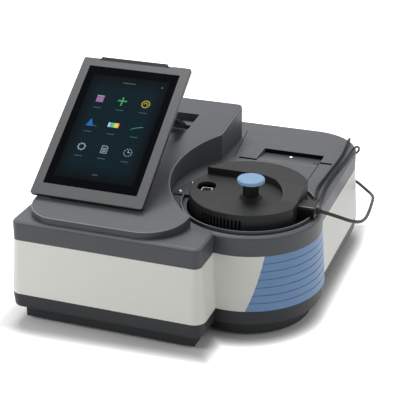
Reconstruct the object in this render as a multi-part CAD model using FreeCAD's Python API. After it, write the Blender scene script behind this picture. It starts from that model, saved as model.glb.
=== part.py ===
"""Bench spectrophotometer with a tilting screen and a round cell changer.

Frame: +X to the operator's right, +Y to the rear, +Z up, origin on the table
under the middle of the case. Lengths are in millimetres.
"""
import math
import os

import FreeCAD
import Part

Vector = FreeCAD.Vector

# Case: plan sizes at the dark band, and the heights of its layers
CASE_W = 322.0
CASE_D = 384.0
LEFT_BLOCK_W = 223.5
POD_R = 85.0
POD_CENTRE_Y = -63.0
REAR_SIDE_INSET = 5.7
FRONT_CORNER_R = 9.0
REAR_LEFT_R = 25.0
REAR_RIGHT_R = 63.0
FOOT_H = 4.0
PLINTH_TOP = 21.0
SKIRT_TOP = 39.3
SHELL_TOP = 104.7
DECK_Z = 128.0
FLARE = 5.0
SKIRT_DRAFT = 2.0
PLINTH_INSET = 9.0
WALL = 3.2
BAND_EDGE_R = 4.0
SKIRT_EDGE_R = 3.0
DECK_T = 3.0
TRAY_FLOOR_T = 3.0
FOOT_R = 12.0
FOOT_INSET = 34.0
BOSS_R = 15.0

# Console hump that carries the screen
HUMP_LEFT_X = -151.0
HUMP_FRONT_Y = -187.5
HUMP_RIGHT_X = 4.0
HUMP_REAR_Y = 141.0
HUMP_CORNER_R = 38.0
HUMP_NOSE_R = 48.0
HUMP_NOSE_X = 32.7
HUMP_SCOOP_R = 135.5
HUMP_SCOOP_X = 112.0
HUMP_SCOOP_Y = -28.0
HUMP_REAR_R = 8.0
HUMP_FRONT_TOP_Z = 136.0
HUMP_SLOPE_DEG = 6.12
HUMP_EDGE_R = 2.6

# Screen unit
SCREEN_W = 137.0
SCREEN_L = 195.0
SCREEN_TILT = 35.1
SCREEN_X = -87.6
SCREEN_EDGE_Y = -151.6
SCREEN_EDGE_Z = 145.8
BEZEL_T = 5.0
BEZEL_CORNER_R = 2.5
GLASS_SIDE = 11.0
GLASS_TOP = 11.8
GLASS_BOTTOM = 15.2
GLASS_T = 1.8
GLASS_RECESS = 0.5
LCD_MARGIN = 6.0
BACK_PLATE_T = 2.2
BACK_PLATE_MARGIN = 2.0
BACK_PLATE_FOOT = 4.0
SPINE_W = 95.0
SPINE_DEPTH = 9.0
SPINE_START = 5.0
SPINE_LIP = 3.0
HINGE_S = 9.0
HINGE_N = 14.0
HINGE_PIN_R = 3.0
HINGE_EAR_T = 7.0
KNUCKLE_W = 60.0
RUN_GAP = 0.05
TROUGH_GAP = 2.5
TROUGH_FRONT_Y = -147.0
TROUGH_REAR_Y = -114.0
TROUGH_Z = 130.6

# Prop behind the screen and its track
PROP_S = 150.0
PROP_N = 22.0
PROP_W = 78.0
PROP_T = 4.0
PROP_RAIL_W = 12.0
PROP_PIN_R = 2.0
TRACK_W = 93.0
TRACK_DEPTH = 5.0
TRACK_FRONT_Y = 20.0
TRACK_SLOT_L = 13.0
TRACK_BAR_L = 9.0
TRACK_REAR_Y = 97.0
TRACK_SLOT_DEPTH = 10.0
PROP_FOOT_LIFT = 0.6

# Well in the pod and the cell changer that stands in it
WELL_R = 71.0
WELL_FLOOR_Z = 86.0
LINER_T = 2.0
LINER_FLANGE_R = 79.0
LINER_FLANGE_T = 1.2
LINER_GROOVE = 1.0
LIP_R = 77.8
LIP_T = 1.4
LIP_H = 3.6
LIP_GAP = 0.8
WELL_GAP = 0.3
CHANGER_R = 68.0
CHANGER_WALL = 3.0
CHANGER_SEAM_Z = 142.0
CHANGER_TOP_Z = 146.0
CHANGER_FLAT = 60.5
FLAT_WALL = 2.0
FLAT_FOOT_Z = 124.0
PLATEAU_TOP_Z = 154.0
PLATEAU_EDGE_DY = 31.0
PLATEAU_ARC_DX = -5.0
PLATEAU_ARC_DY = -15.0
PLATEAU_ARC_R = 47.0
RAMP_TOP_DY = 21.0
RAMP_FOOT_DY = -17.0
VENT_COUNT = 12
VENT_FIRST_DEG = -121.0
VENT_LAST_DEG = -81.0
VENT_W = 2.4
VENT_BOTTOM_Z = 118.0
VENT_TOP_Z = 139.5
PORT_L = 25.0
PORT_W = 21.0
CELL_COUNT = 8
CELL_PITCH_R = 49.5
CELL_ANGLE_DEG = 185.4
CELL_W = 12.5
CELL_H = 45.0
CELL_GLASS_T = 1.25
CELL_GAP = 0.3
CELL_HEADROOM = 0.5
SAMPLE_H = 40.5
CAROUSEL_R = 61.5
CAROUSEL_FLOOR_T = 2.0
SLEEVE_W = 17.0
SLEEVE_H = 22.0
HUB_R = 14.0
SPINDLE_R = 5.0
GEAR_MODULE = 1.2
GEAR_TEETH = 60
PINION_TEETH = 15
GEAR_T = 4.0
GEAR_BACKLASH = 0.25
GEAR_WINDOW_PCR = 22.0
GEAR_WINDOW_R = 5.5
GEAR_ANGLE_DEG = 60.0
BEAM_ABOVE_CELL = 8.5
BEAM_R = 4.0
KNOB_DX = 7.5
KNOB_DY = -17.5
KNOB_STEM_R = 9.0
KNOB_CAP_R = 15.5
KNOB_CAP_T = 4.0
KNOB_TOP_Z = 169.5
KNOB_FLARE_R = 13.0
MOTOR_W = 42.0
MOTOR_H = 34.0
MOTOR_SHAFT_R = 2.5

# Connector block, fittings and cable sizes
BLOCK_L = 20.0
BLOCK_FRONT_DY = -14.0
BLOCK_REAR_DY = 7.0
BLOCK_Z1 = 142.0
BLOCK_EDGE_R = 1.2
CABLE_D = 4.0
TUBE_D = 3.0
GLAND_R = 3.8
GLAND_L = 4.5
FITTING_R = 1.9
FITTING_L = 7.0
FITTING_NUT_R = 2.5

# Bracket that holds the changer to the deck, and its screws
EAR_T = 1.6
EAR_R = 91.0
EAR_FIRST_DEG = 152.0
EAR_LAST_DEG = 181.0
EAR_SCREW_R = 86.0
EAR_SCREW_INSET = 5.0
SCREW_R = 1.5
SCREW_HEAD_R = 2.6
SCREW_HEAD_T = 1.4
DECK_SCREW = (81.0, 97.0)

# Deck details at the right rear
RECESS_X0 = 44.0
RECESS_X1 = 121.0
RECESS_Y0 = 70.0
RECESS_Y1 = 108.0
RECESS_DEPTH = 5.5
LID_SLOT_L = 24.0
LID_SLOT_W = 3.2
LID_SLOT_DEPTH = 9.0
LID_SLOT_LEFT = (21.5, 67.0)
LID_SLOT_RIGHT = (112.5, 83.0)

# Blue ribbed panel on the pod
ACCENT_T = 2.0
ACCENT_MID_DEG = -28.0
ACCENT_TOP_T = -45.4
ACCENT_MID_T = -52.3
ACCENT_MID_Z = 77.6
ACCENT_FOOT_T = -64.9
ACCENT_RIGHT_T = 60.0
ACCENT_RIBS = 6
ACCENT_GROOVE = 0.9
ACCENT_GROOVE_DEPTH = 0.7
ACCENT_GAP = 0.15

# Rear panel and its connectors
REAR_PANEL_X0 = -128.0
REAR_PANEL_X1 = 84.0
REAR_PANEL_Z0 = 46.0
REAR_PANEL_Z1 = 98.0
REAR_PANEL_T = 2.0
REAR_PANEL_Y = 190.0
FAN_X = -95.0
FAN_Z = 72.0
FAN_SIZE = 44.0
FAN_DEPTH = 14.0
INLET_X = -34.0
INLET_Z = 72.0
INLET_W = 27.0
INLET_H = 20.0
INLET_DEPTH = 22.0
SWITCH_X = 0.0
SWITCH_W = 13.0
SWITCH_H = 19.0
ROCKER_INSET = 2.6
USB_X = 22.0
USB_PITCH = 18.0
SOCKET_X = 66.0
SOCKET_Z = 66.0
SOCKET_R = 7.0

# Main board
BOARD_X0 = -146.0
BOARD_Y0 = -176.0
BOARD_W = 150.0
BOARD_L = 136.0
BOARD_T = 1.6
BOARD_LIFT = 8.0
BOARD_POST_R = 3.5

# Power supply
SUPPLY_INSET = 11.3
SUPPLY_Y0 = 20.0
SUPPLY_W = 58.0
SUPPLY_L = 92.0
SUPPLY_H = 34.0

# Optical bench and what stands on it
BENCH_X0 = -150.0
BENCH_X1 = 82.0
BENCH_Y0 = 15.0
BENCH_Y1 = 152.0
BENCH_Z0 = 58.0
BENCH_T = 8.0
BENCH_POST_R = 6.0
OPTIC_X = -118.0
EXIT_X = -20.0
GRATING_X = -66.0
GRATING_Y = 108.0
TURNTABLE_R = 18.0
FILTER_R = 22.0
FILTER_Y = 96.0

# Cord routes: hand-picked points, first one at the exit
CABLE_ROUTE = [
    (161.0, -64.0, 133.4),
    (170.0, -61.0, 130.6),
    (181.0, -54.0, 124.8),
    (191.5, -42.0, 116.2),
    (198.5, -24.0, 108.6),
    (199.5, 0.0, 103.0),
    (197.2, 30.0, 99.2),
    (193.7, 60.0, 95.0),
    (189.2, 92.0, 89.0),
    (180.6, 118.0, 81.6),
    (168.5, 142.0, 76.0),
    (158.5, 160.0, 73.0),
    (146.0, 177.0, 71.0),
    (130.5, 190.5, 69.0),
    (112.0, 200.0, 67.2),
    (94.0, 204.0, 66.2),
    (84.0, 204.4, 66.0),
]
TUBE_A_ROUTE = [
    (153.2, -49.0, 136.0),
    (152.6, -37.0, 135.2),
    (150.5, -22.0, 132.2),
    (147.5, 0.0, 131.0),
    (146.8, 36.0, 131.1),
    (148.2, 70.0, 130.9),
    (150.6, 100.0, 131.0),
    (151.4, 126.0, 132.0),
    (152.8, 140.0, 132.4),
    (154.6, 151.0, 129.0),
    (153.8, 161.0, 121.0),
    (149.0, 170.5, 112.0),
    (141.0, 181.0, 104.5),
    (128.0, 193.0, 98.5),
    (110.0, 203.5, 93.5),
    (92.5, 210.5, 90.0),
    (79.0, 210.5, 88.3),
    (73.6, 203.5, 88.0),
    (72.5, 192.0, 88.0),
]
TUBE_B_ROUTE = [
    (147.8, -49.0, 136.0),
    (147.0, -37.0, 136.0),
    (144.2, -23.0, 134.8),
    (140.8, -8.0, 132.0),
    (139.0, 8.0, 131.0),
    (140.2, 36.0, 130.9),
    (141.6, 70.0, 131.1),
    (143.0, 104.0, 130.9),
    (142.0, 128.0, 131.2),
    (140.6, 146.0, 131.8),
    (139.4, 160.0, 132.6),
    (138.6, 171.5, 130.6),
    (135.8, 180.0, 122.0),
    (130.0, 186.5, 112.0),
    (121.0, 192.0, 104.0),
    (110.0, 197.0, 97.5),
    (99.0, 201.5, 92.2),
    (90.5, 203.6, 89.4),
    (83.8, 202.4, 88.1),
    (80.3, 198.5, 88.0),
    (79.5, 192.0, 88.0),
]

CASE_HALF_X = CASE_W / 2
CASE_HALF_Y = CASE_D / 2
LEFT_BLOCK_X = -CASE_HALF_X + LEFT_BLOCK_W
POD_X = CASE_HALF_X - POD_R
FLAT_X = POD_X + CHANGER_FLAT
KNOB_X = POD_X + KNOB_DX
KNOB_Y = POD_CENTRE_Y + KNOB_DY
GLASS_W = SCREEN_W - 2 * GLASS_SIDE
GLASS_L = SCREEN_L - GLASS_BOTTOM - GLASS_TOP
REAR_SIDE_X = CASE_HALF_X - REAR_SIDE_INSET
SUPPLY_X0 = REAR_SIDE_X - SUPPLY_INSET - SUPPLY_W
TRAY_FLOOR_Z = PLINTH_TOP + TRAY_FLOOR_T
SLOPE = math.radians(HUMP_SLOPE_DEG)
TILT = math.radians(SCREEN_TILT)
BENCH_TOP = BENCH_Z0 + BENCH_T
CELL_TOP_Z = CHANGER_SEAM_Z - CELL_HEADROOM
CELL_FOOT_Z = CELL_TOP_Z - CELL_H
BEAM_Z = CELL_FOOT_Z + BEAM_ABOVE_CELL
CELL_X = POD_X + CELL_PITCH_R * math.cos(math.radians(CELL_ANGLE_DEG))
CELL_Y = POD_CENTRE_Y + CELL_PITCH_R * math.sin(math.radians(CELL_ANGLE_DEG))

NODES = {}


def keep(name, shape):
    """Store a finished node under its name."""
    NODES[name] = shape
    return shape


def box(x0, x1, y0, y1, z0, z1):
    """Upright box between two corners."""
    return Part.makeBox(x1 - x0, y1 - y0, z1 - z0, Vector(x0, y0, z0))


def cyl(x, y, z0, z1, radius):
    """Upright cylinder."""
    return Part.makeCylinder(radius, z1 - z0, Vector(x, y, z0))


def cyl_y(x, z, y0, y1, radius):
    """Cylinder along +Y."""
    return Part.makeCylinder(radius, y1 - y0, Vector(x, y0, z), Vector(0, 1, 0))


def cyl_x(y, z, x0, x1, radius):
    """Cylinder along +X."""
    return Part.makeCylinder(radius, x1 - x0, Vector(x0, y, z), Vector(1, 0, 0))


def rounded_wire(x0, x1, y0, y1, radii, z):
    """Closed rectangle at height z, with its own radius at each corner.

    The radii go front left, front right, rear right, rear left.
    """
    r_fl, r_fr, r_rr, r_rl = radii
    corners = [
        (x1, y0, r_fr, -45, (x1 - r_fr, y0), (x1, y0 + r_fr), (x1 - r_fr, y0 + r_fr)),
        (x1, y1, r_rr, 45, (x1, y1 - r_rr), (x1 - r_rr, y1), (x1 - r_rr, y1 - r_rr)),
        (x0, y1, r_rl, 135, (x0 + r_rl, y1), (x0, y1 - r_rl), (x0 + r_rl, y1 - r_rl)),
        (x0, y0, r_fl, 225, (x0, y0 + r_fl), (x0 + r_fl, y0), (x0 + r_fl, y0 + r_fl)),
    ]
    edges = []
    last = Vector(x0 + r_fl, y0, z)
    for _, _, radius, angle, start, end, centre in corners:
        start_v = Vector(start[0], start[1], z)
        end_v = Vector(end[0], end[1], z)
        edges.append(Part.LineSegment(last, start_v).toShape())
        if radius > 0:
            turn = math.radians(angle)
            middle = Vector(centre[0] + radius * math.cos(turn), centre[1] + radius * math.sin(turn), z)
            edges.append(Part.Arc(start_v, middle, end_v).toShape())
        last = end_v
    return Part.Wire(edges)


def rounded_box(x0, x1, y0, y1, z0, z1, radius):
    """Box with its four upright edges rounded."""
    wire = rounded_wire(x0, x1, y0, y1, (radius,) * 4, z0)
    return Part.Face(wire).extrude(Vector(0, 0, z1 - z0))


def edges_at(shape, z):
    """Edges of a shape that lie wholly at height z."""
    return [e for e in shape.Edges if abs(e.BoundBox.ZMin - z) < 1e-4 and abs(e.BoundBox.ZMax - z) < 1e-4]


def soften(shape, z, radius):
    """Round the edges of a shape that lie at height z."""
    return shape.makeFillet(radius, edges_at(shape, z)) if radius > 0 else shape


def case_part(plan, z0, z1, grow0, grow1, top_r=0.0, foot_r=0.0):
    """One of the case's three plan areas as a drafted block.

    grow0 and grow1 push the outline out at the foot and at the top. A corner
    is square once the outline is drawn in by more than its radius.
    """
    if plan == "pod":
        if abs(grow1 - grow0) < 1e-9:
            shape = cyl(POD_X, POD_CENTRE_Y, z0, z1, POD_R + grow0)
        else:
            shape = Part.makeCone(POD_R + grow0, POD_R + grow1, z1 - z0, Vector(POD_X, POD_CENTRE_Y, z0))
    else:
        if plan == "front":
            x0, x1, y0, y1 = -CASE_HALF_X, LEFT_BLOCK_X, -CASE_HALF_Y, 0.0
            radii = (FRONT_CORNER_R, FRONT_CORNER_R, 0.0, 0.0)
        else:
            x0, x1, y0, y1 = -CASE_HALF_X, REAR_SIDE_X, POD_CENTRE_Y, CASE_HALF_Y
            radii = (0.0, 0.0, REAR_RIGHT_R, REAR_LEFT_R)
        wires = []
        for z, grow in ((z0, grow0), (z1, grow1)):
            grown = [max(r + grow, 0.0) if r > 0 else 0.0 for r in radii]
            wires.append(rounded_wire(x0 - grow, x1 + grow, y0 - grow, y1 + grow, grown, z))
        shape = Part.makeLoft(wires, True, True)
    shape = soften(shape, z1, top_r)
    return soften(shape, z0, foot_r)


def case_solid(z0, z1, grow0, grow1, top_r=0.0, foot_r=0.0):
    """The case's whole plan outline as one drafted solid."""
    parts = [case_part(plan, z0, z1, grow0, grow1, top_r, foot_r) for plan in ("front", "rear", "pod")]
    return parts[0].fuse(parts[1:]).removeSplitter()


def shell_grow(z):
    """How far the white shell stands out from the band at height z."""
    return FLARE * (SHELL_TOP - z) / (SHELL_TOP - SKIRT_TOP)


def hump_z(y):
    """Height of the hump's sloping top over a place y."""
    return HUMP_FRONT_TOP_Z + (y - HUMP_FRONT_Y) * math.tan(SLOPE)


def foot_places():
    """Plan positions of the five feet."""
    left = -CASE_HALF_X + FOOT_INSET
    right = LEFT_BLOCK_X - FOOT_INSET
    return [
        (left, -CASE_HALF_Y + FOOT_INSET),
        (right, -CASE_HALF_Y + FOOT_INSET),
        (left, CASE_HALF_Y - FOOT_INSET),
        (REAR_SIDE_X - REAR_RIGHT_R * 0.6, CASE_HALF_Y - FOOT_INSET - REAR_RIGHT_R * 0.2),
        (POD_X + POD_R * 0.45, POD_CENTRE_Y - POD_R * 0.35),
    ]


def build_case():
    """Base tray, feet, white shell, accent panel and rear panel."""
    skirt = case_solid(PLINTH_TOP, SKIRT_TOP, FLARE - SKIRT_DRAFT, FLARE, foot_r=SKIRT_EDGE_R)
    plinth = case_solid(FOOT_H, PLINTH_TOP + 1, -PLINTH_INSET, -PLINTH_INSET)
    tray = skirt.fuse(plinth)
    inside = case_solid(TRAY_FLOOR_Z, SKIRT_TOP + 1, FLARE - SKIRT_DRAFT - WALL, FLARE - WALL)
    under = case_solid(FOOT_H - 1, PLINTH_TOP, -PLINTH_INSET - WALL, -PLINTH_INSET - WALL)
    bosses = [cyl(x, y, FOOT_H, PLINTH_TOP + 1, BOSS_R) for x, y in foot_places()]
    posts = [cyl(x, y, TRAY_FLOOR_Z - 1, TRAY_FLOOR_Z + BOARD_LIFT, BOARD_POST_R) for x, y in board_post_places()]
    tray = tray.cut([inside, under]).fuse(bosses + posts)
    keep("base_tray", tray.removeSplitter())

    feet = []
    for x, y in foot_places():
        pad = cyl(x, y, 0, FOOT_H, FOOT_R)
        feet.append(soften(pad, 0, 1.0))
    keep("rubber_feet", Part.makeCompound(feet))

    outer = case_solid(SKIRT_TOP, SHELL_TOP, FLARE, 0.0)
    low, high = SKIRT_TOP - 1, SHELL_TOP + 1
    inner = case_solid(low, high, shell_grow(low) - WALL, shell_grow(high) - WALL)
    shell = outer.cut(inner)

    cutter = accent_cutter(0.0)
    skin = case_part("pod", SKIRT_TOP, SHELL_TOP, FLARE, 0.0)
    core = case_part("pod", low, high, shell_grow(low) - ACCENT_T, shell_grow(high) - ACCENT_T)
    pocket = skin.cut(core).common(cutter)
    panel_core = case_part(
        "pod", low, high, shell_grow(low) - ACCENT_T + ACCENT_GAP, shell_grow(high) - ACCENT_T + ACCENT_GAP
    )
    panel = skin.cut(panel_core).common(accent_cutter(ACCENT_GAP))
    pitch = (SHELL_TOP - SKIRT_TOP) / (ACCENT_RIBS + 1)
    for i in range(ACCENT_RIBS):
        z = SKIRT_TOP + pitch * (i + 1)
        ring = cyl(POD_X, POD_CENTRE_Y, z, z + ACCENT_GROOVE, POD_R + FLARE + 5)
        ring = ring.cut(cyl(POD_X, POD_CENTRE_Y, z - 1, z + 2, POD_R + shell_grow(z) - ACCENT_GROOVE_DEPTH))
        panel = panel.cut(ring)
    keep("accent_panel", panel)

    gate = box(
        REAR_PANEL_X0, REAR_PANEL_X1, CASE_HALF_Y - WALL - 8, CASE_HALF_Y + FLARE + 5,
        REAR_PANEL_Z0, REAR_PANEL_Z1,
    )
    shell = shell.cut([pocket, gate])
    keep("side_shell", shell)


def accent_cutter(gap):
    """Prism through the pod that bounds the accent panel in side view.

    Its front edge is an arc; the rest is straight. gap draws it in.
    """
    mid = math.radians(ACCENT_MID_DEG)
    along = Vector(math.cos(mid), math.sin(mid), 0)
    across = Vector(-math.sin(mid), math.cos(mid), 0)
    centre = Vector(POD_X, POD_CENTRE_Y, 0)

    def at(t, z):
        return centre + across * t + Vector(0, 0, z)

    low, high = SKIRT_TOP + gap, SHELL_TOP - gap
    top = at(ACCENT_TOP_T + gap, high)
    foot = at(ACCENT_FOOT_T + gap, low)
    edges = [
        Part.Arc(top, at(ACCENT_MID_T + gap, ACCENT_MID_Z), foot).toShape(),
        Part.LineSegment(foot, at(ACCENT_RIGHT_T - gap, low)).toShape(),
        Part.LineSegment(at(ACCENT_RIGHT_T - gap, low), at(ACCENT_RIGHT_T - gap, high)).toShape(),
        Part.LineSegment(at(ACCENT_RIGHT_T - gap, high), top).toShape(),
    ]
    return Part.Face(Part.Wire(edges)).extrude(along * (POD_R + FLARE + 20))


def build_cover():
    """Dark top cover: band, deck, well opening and lid recess."""
    outer = case_solid(SHELL_TOP, DECK_Z, 0.0, 0.0, top_r=BAND_EDGE_R)
    inner = case_solid(SHELL_TOP - 1, DECK_Z - DECK_T, -WALL, -WALL)
    cover = outer.cut(inner)
    pan = RECESS_DEPTH + DECK_T
    under = box(RECESS_X0 - DECK_T, RECESS_X1 + DECK_T, RECESS_Y0, RECESS_Y1 + DECK_T, DECK_Z - pan, DECK_Z - 1)
    cover = cover.fuse(under)
    side = [
        Vector(RECESS_X0, RECESS_Y0, DECK_Z),
        Vector(RECESS_X0, RECESS_Y1, DECK_Z - RECESS_DEPTH),
        Vector(RECESS_X0, RECESS_Y1, DECK_Z + 1),
        Vector(RECESS_X0, RECESS_Y0, DECK_Z + 1),
    ]
    wedge = Part.Face(Part.makePolygon(side + side[:1])).extrude(Vector(RECESS_X1 - RECESS_X0, 0, 0))
    cuts = [wedge, cyl(DECK_SCREW[0], DECK_SCREW[1], DECK_Z - RECESS_DEPTH - 1.8, DECK_Z + 1, SCREW_R)]
    for angle in (EAR_FIRST_DEG + EAR_SCREW_INSET, EAR_LAST_DEG - EAR_SCREW_INSET):
        turn = math.radians(angle)
        x, y = POD_X + EAR_SCREW_R * math.cos(turn), POD_CENTRE_Y + EAR_SCREW_R * math.sin(turn)
        cuts.append(cyl(x, y, DECK_Z - DECK_T - 1, DECK_Z + 1, SCREW_R))
    for x, y in (LID_SLOT_LEFT, LID_SLOT_RIGHT):
        cuts.append(box(x, x + LID_SLOT_L, y, y + LID_SLOT_W, DECK_Z - LID_SLOT_DEPTH, DECK_Z + 1))
    hole_r = WELL_R + LINER_T + WELL_GAP
    seat_z = DECK_Z - LINER_GROOVE - LINER_FLANGE_T
    cuts.append(cyl(POD_X, POD_CENTRE_Y, SHELL_TOP - 1, DECK_Z + 1, hole_r))
    cuts.append(cyl(POD_X, POD_CENTRE_Y, seat_z, DECK_Z + 1, LINER_FLANGE_R + WELL_GAP))
    keep("top_cover", cover.cut(cuts))


def hump_wire(z, inset=0.0):
    """Plan outline of the hump at height z, drawn in by inset."""
    left, front, rear, right = HUMP_LEFT_X + inset, HUMP_FRONT_Y + inset, HUMP_REAR_Y - inset, HUMP_RIGHT_X - inset
    corner = HUMP_CORNER_R - inset
    nose = HUMP_NOSE_R - inset
    rear_r = HUMP_REAR_R - inset
    nose_cx = HUMP_NOSE_X - HUMP_NOSE_R
    nose_cy = HUMP_FRONT_Y + HUMP_NOSE_R
    scoop_r = HUMP_SCOOP_R + inset

    def v(x, y):
        return Vector(x, y, z)

    tip = circle_meet(nose_cx, nose_cy, nose, HUMP_SCOOP_X, HUMP_SCOOP_Y, scoop_r)
    end_y = HUMP_SCOOP_Y + math.sqrt(scoop_r**2 - (HUMP_SCOOP_X - right) ** 2)
    tip_angle = math.atan2(tip[1] - nose_cy, tip[0] - nose_cx)
    mid_angle = (tip_angle - math.pi / 2) / 2
    s45 = math.sqrt(0.5)
    edges = [
        Part.LineSegment(v(left + corner, front), v(nose_cx, front)).toShape(),
        Part.Arc(
            v(nose_cx, front),
            v(nose_cx + nose * math.cos(mid_angle), nose_cy + nose * math.sin(mid_angle)),
            v(*tip),
        ).toShape(),
        Part.Arc(v(*tip), v(HUMP_SCOOP_X - scoop_r, HUMP_SCOOP_Y), v(right, end_y)).toShape(),
        Part.LineSegment(v(right, end_y), v(right, rear - rear_r)).toShape(),
        Part.Arc(
            v(right, rear - rear_r),
            v(right - rear_r * (1 - s45), rear - rear_r * (1 - s45)),
            v(right - rear_r, rear),
        ).toShape(),
        Part.LineSegment(v(right - rear_r, rear), v(left + rear_r, rear)).toShape(),
        Part.Arc(
            v(left + rear_r, rear),
            v(left + rear_r * (1 - s45), rear - rear_r * (1 - s45)),
            v(left, rear - rear_r),
        ).toShape(),
        Part.LineSegment(v(left, rear - rear_r), v(left, front + corner)).toShape(),
        Part.Arc(
            v(left, front + corner),
            v(left + corner * (1 - s45), front + corner * (1 - s45)),
            v(left + corner, front),
        ).toShape(),
    ]
    return Part.Wire(edges)


def circle_meet(x0, y0, r0, x1, y1, r1):
    """Meeting point of two circles that lies nearer the front right."""
    dx, dy = x1 - x0, y1 - y0
    gap = math.hypot(dx, dy)
    a = (r0**2 - r1**2 + gap**2) / (2 * gap)
    h = math.sqrt(r0**2 - a**2)
    mx, my = x0 + a * dx / gap, y0 + a * dy / gap
    points = [(mx + h * dy / gap, my - h * dx / gap), (mx - h * dy / gap, my + h * dx / gap)]
    return max(points, key=lambda q: q[0] - q[1])


def slope_cut(drop):
    """Large block above the hump's top plane, lowered by drop."""
    side = [
        Vector(-400, -400, hump_z(-400) - drop),
        Vector(-400, 400, hump_z(400) - drop),
        Vector(-400, 400, 400),
        Vector(-400, -400, 400),
    ]
    return Part.Face(Part.makePolygon(side + side[:1])).extrude(Vector(800, 0, 0))


def sloped_pocket(x0, x1, y0, y1, depth):
    """Block that sinks a pocket of even depth into the sloping top."""
    side = [
        Vector(x0, y0, hump_z(y0) - depth),
        Vector(x0, y1, hump_z(y1) - depth),
        Vector(x0, y1, hump_z(y1) + 20),
        Vector(x0, y0, hump_z(y0) + 20),
    ]
    return Part.Face(Part.makePolygon(side + side[:1])).extrude(Vector(x1 - x0, 0, 0))


def build_console():
    """Hump on the deck, with the screen's hinge trough and the prop's track."""
    outer = Part.Face(hump_wire(DECK_Z)).extrude(Vector(0, 0, 60)).cut(slope_cut(0.0))
    top_face = max(outer.Faces, key=lambda f: f.CenterOfMass.z if abs(f.normalAt(0, 0).z) > 0.9 else 0)
    outer = outer.makeFillet(HUMP_EDGE_R, top_face.Edges)
    inner = Part.Face(hump_wire(DECK_Z - 1, WALL)).extrude(Vector(0, 0, 60)).cut(slope_cut(WALL))
    shell = outer.cut(inner)

    x0, x1 = SCREEN_X - SPINE_W / 2 - TROUGH_GAP, SCREEN_X + SPINE_W / 2 + TROUGH_GAP
    trough_skin = box(
        x0 - 2, x1 + 2, TROUGH_FRONT_Y - 2, TROUGH_REAR_Y + 2, DECK_Z, hump_z(TROUGH_REAR_Y)
    ).cut(slope_cut(1.0))
    trough = box(x0, x1, TROUGH_FRONT_Y, TROUGH_REAR_Y, TROUGH_Z, hump_z(TROUGH_REAR_Y) + 5)
    tx0, tx1 = SCREEN_X - TRACK_W / 2, SCREEN_X + TRACK_W / 2
    track_skin = sloped_pocket(tx0 - 2, tx1 + 2, TRACK_FRONT_Y - 2, TRACK_REAR_Y + 2, TRACK_SLOT_DEPTH + 2)
    track_skin = track_skin.cut(slope_cut(1.0))
    track = sloped_pocket(tx0, tx1, TRACK_FRONT_Y, TRACK_REAR_Y, TRACK_DEPTH)
    slots = []
    slot_end = TRACK_REAR_Y
    for _ in range(2):
        slots.append(sloped_pocket(tx0, tx1, slot_end - TRACK_SLOT_L, slot_end, TRACK_SLOT_DEPTH))
        slot_end -= TRACK_SLOT_L + TRACK_BAR_L
    shell = shell.fuse([trough_skin, track_skin]).cut([trough, track] + slots)
    keep("console_housing", shell.removeSplitter())


def screen_point(s, n):
    """Place a point of the screen's side view in the frame.

    s runs up the screen from its lower edge, n stands out of its face.
    """
    y = SCREEN_EDGE_Y + s * math.cos(TILT) - n * math.sin(TILT)
    z = SCREEN_EDGE_Z + s * math.sin(TILT) + n * math.cos(TILT)
    return y, z


def tilt_up(shape):
    """Turn a flat screen part to its tilt and set it over the hump."""
    shape = shape.copy()
    shape.rotate(Vector(0, 0, 0), Vector(1, 0, 0), SCREEN_TILT)
    shape.translate(Vector(SCREEN_X, SCREEN_EDGE_Y, SCREEN_EDGE_Z))
    return shape


def prop_layout():
    """Pivot, foot, length and swing of the prop at its two stops."""
    pivot = screen_point(PROP_S, -PROP_N)
    front_slot_y = TRACK_REAR_Y - 1.5 * TRACK_SLOT_L - TRACK_BAR_L
    rear_slot_y = TRACK_REAR_Y - 0.5 * TRACK_SLOT_L
    drop = TRACK_DEPTH - PROP_T / 2 - PROP_FOOT_LIFT
    foot = (front_slot_y, hump_z(front_slot_y) - drop)
    foot_2 = (rear_slot_y, hump_z(rear_slot_y) - drop)
    length = math.hypot(foot[0] - pivot[0], foot[1] - pivot[1])
    axis = screen_point(HINGE_S, -HINGE_N)
    arm = math.hypot(pivot[0] - axis[0], pivot[1] - axis[1])
    arm_angle = math.atan2(pivot[1] - axis[1], pivot[0] - axis[0])
    reach = math.hypot(foot_2[0] - axis[0], foot_2[1] - axis[1])
    reach_angle = math.atan2(foot_2[1] - axis[1], foot_2[0] - axis[0])
    opening = math.acos((arm**2 + reach**2 - length**2) / (2 * arm * reach))
    fold = reach_angle + opening - arm_angle
    pivot_2 = (
        axis[0] + arm * math.cos(arm_angle + fold),
        axis[1] + arm * math.sin(arm_angle + fold),
    )
    lean = math.atan2(foot[1] - pivot[1], foot[0] - pivot[0])
    lean_2 = math.atan2(foot_2[1] - pivot_2[1], foot_2[0] - pivot_2[0])
    swing = lean_2 - lean - fold
    return pivot, foot, length, lean, axis, math.degrees(fold), math.degrees(swing)


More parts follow.
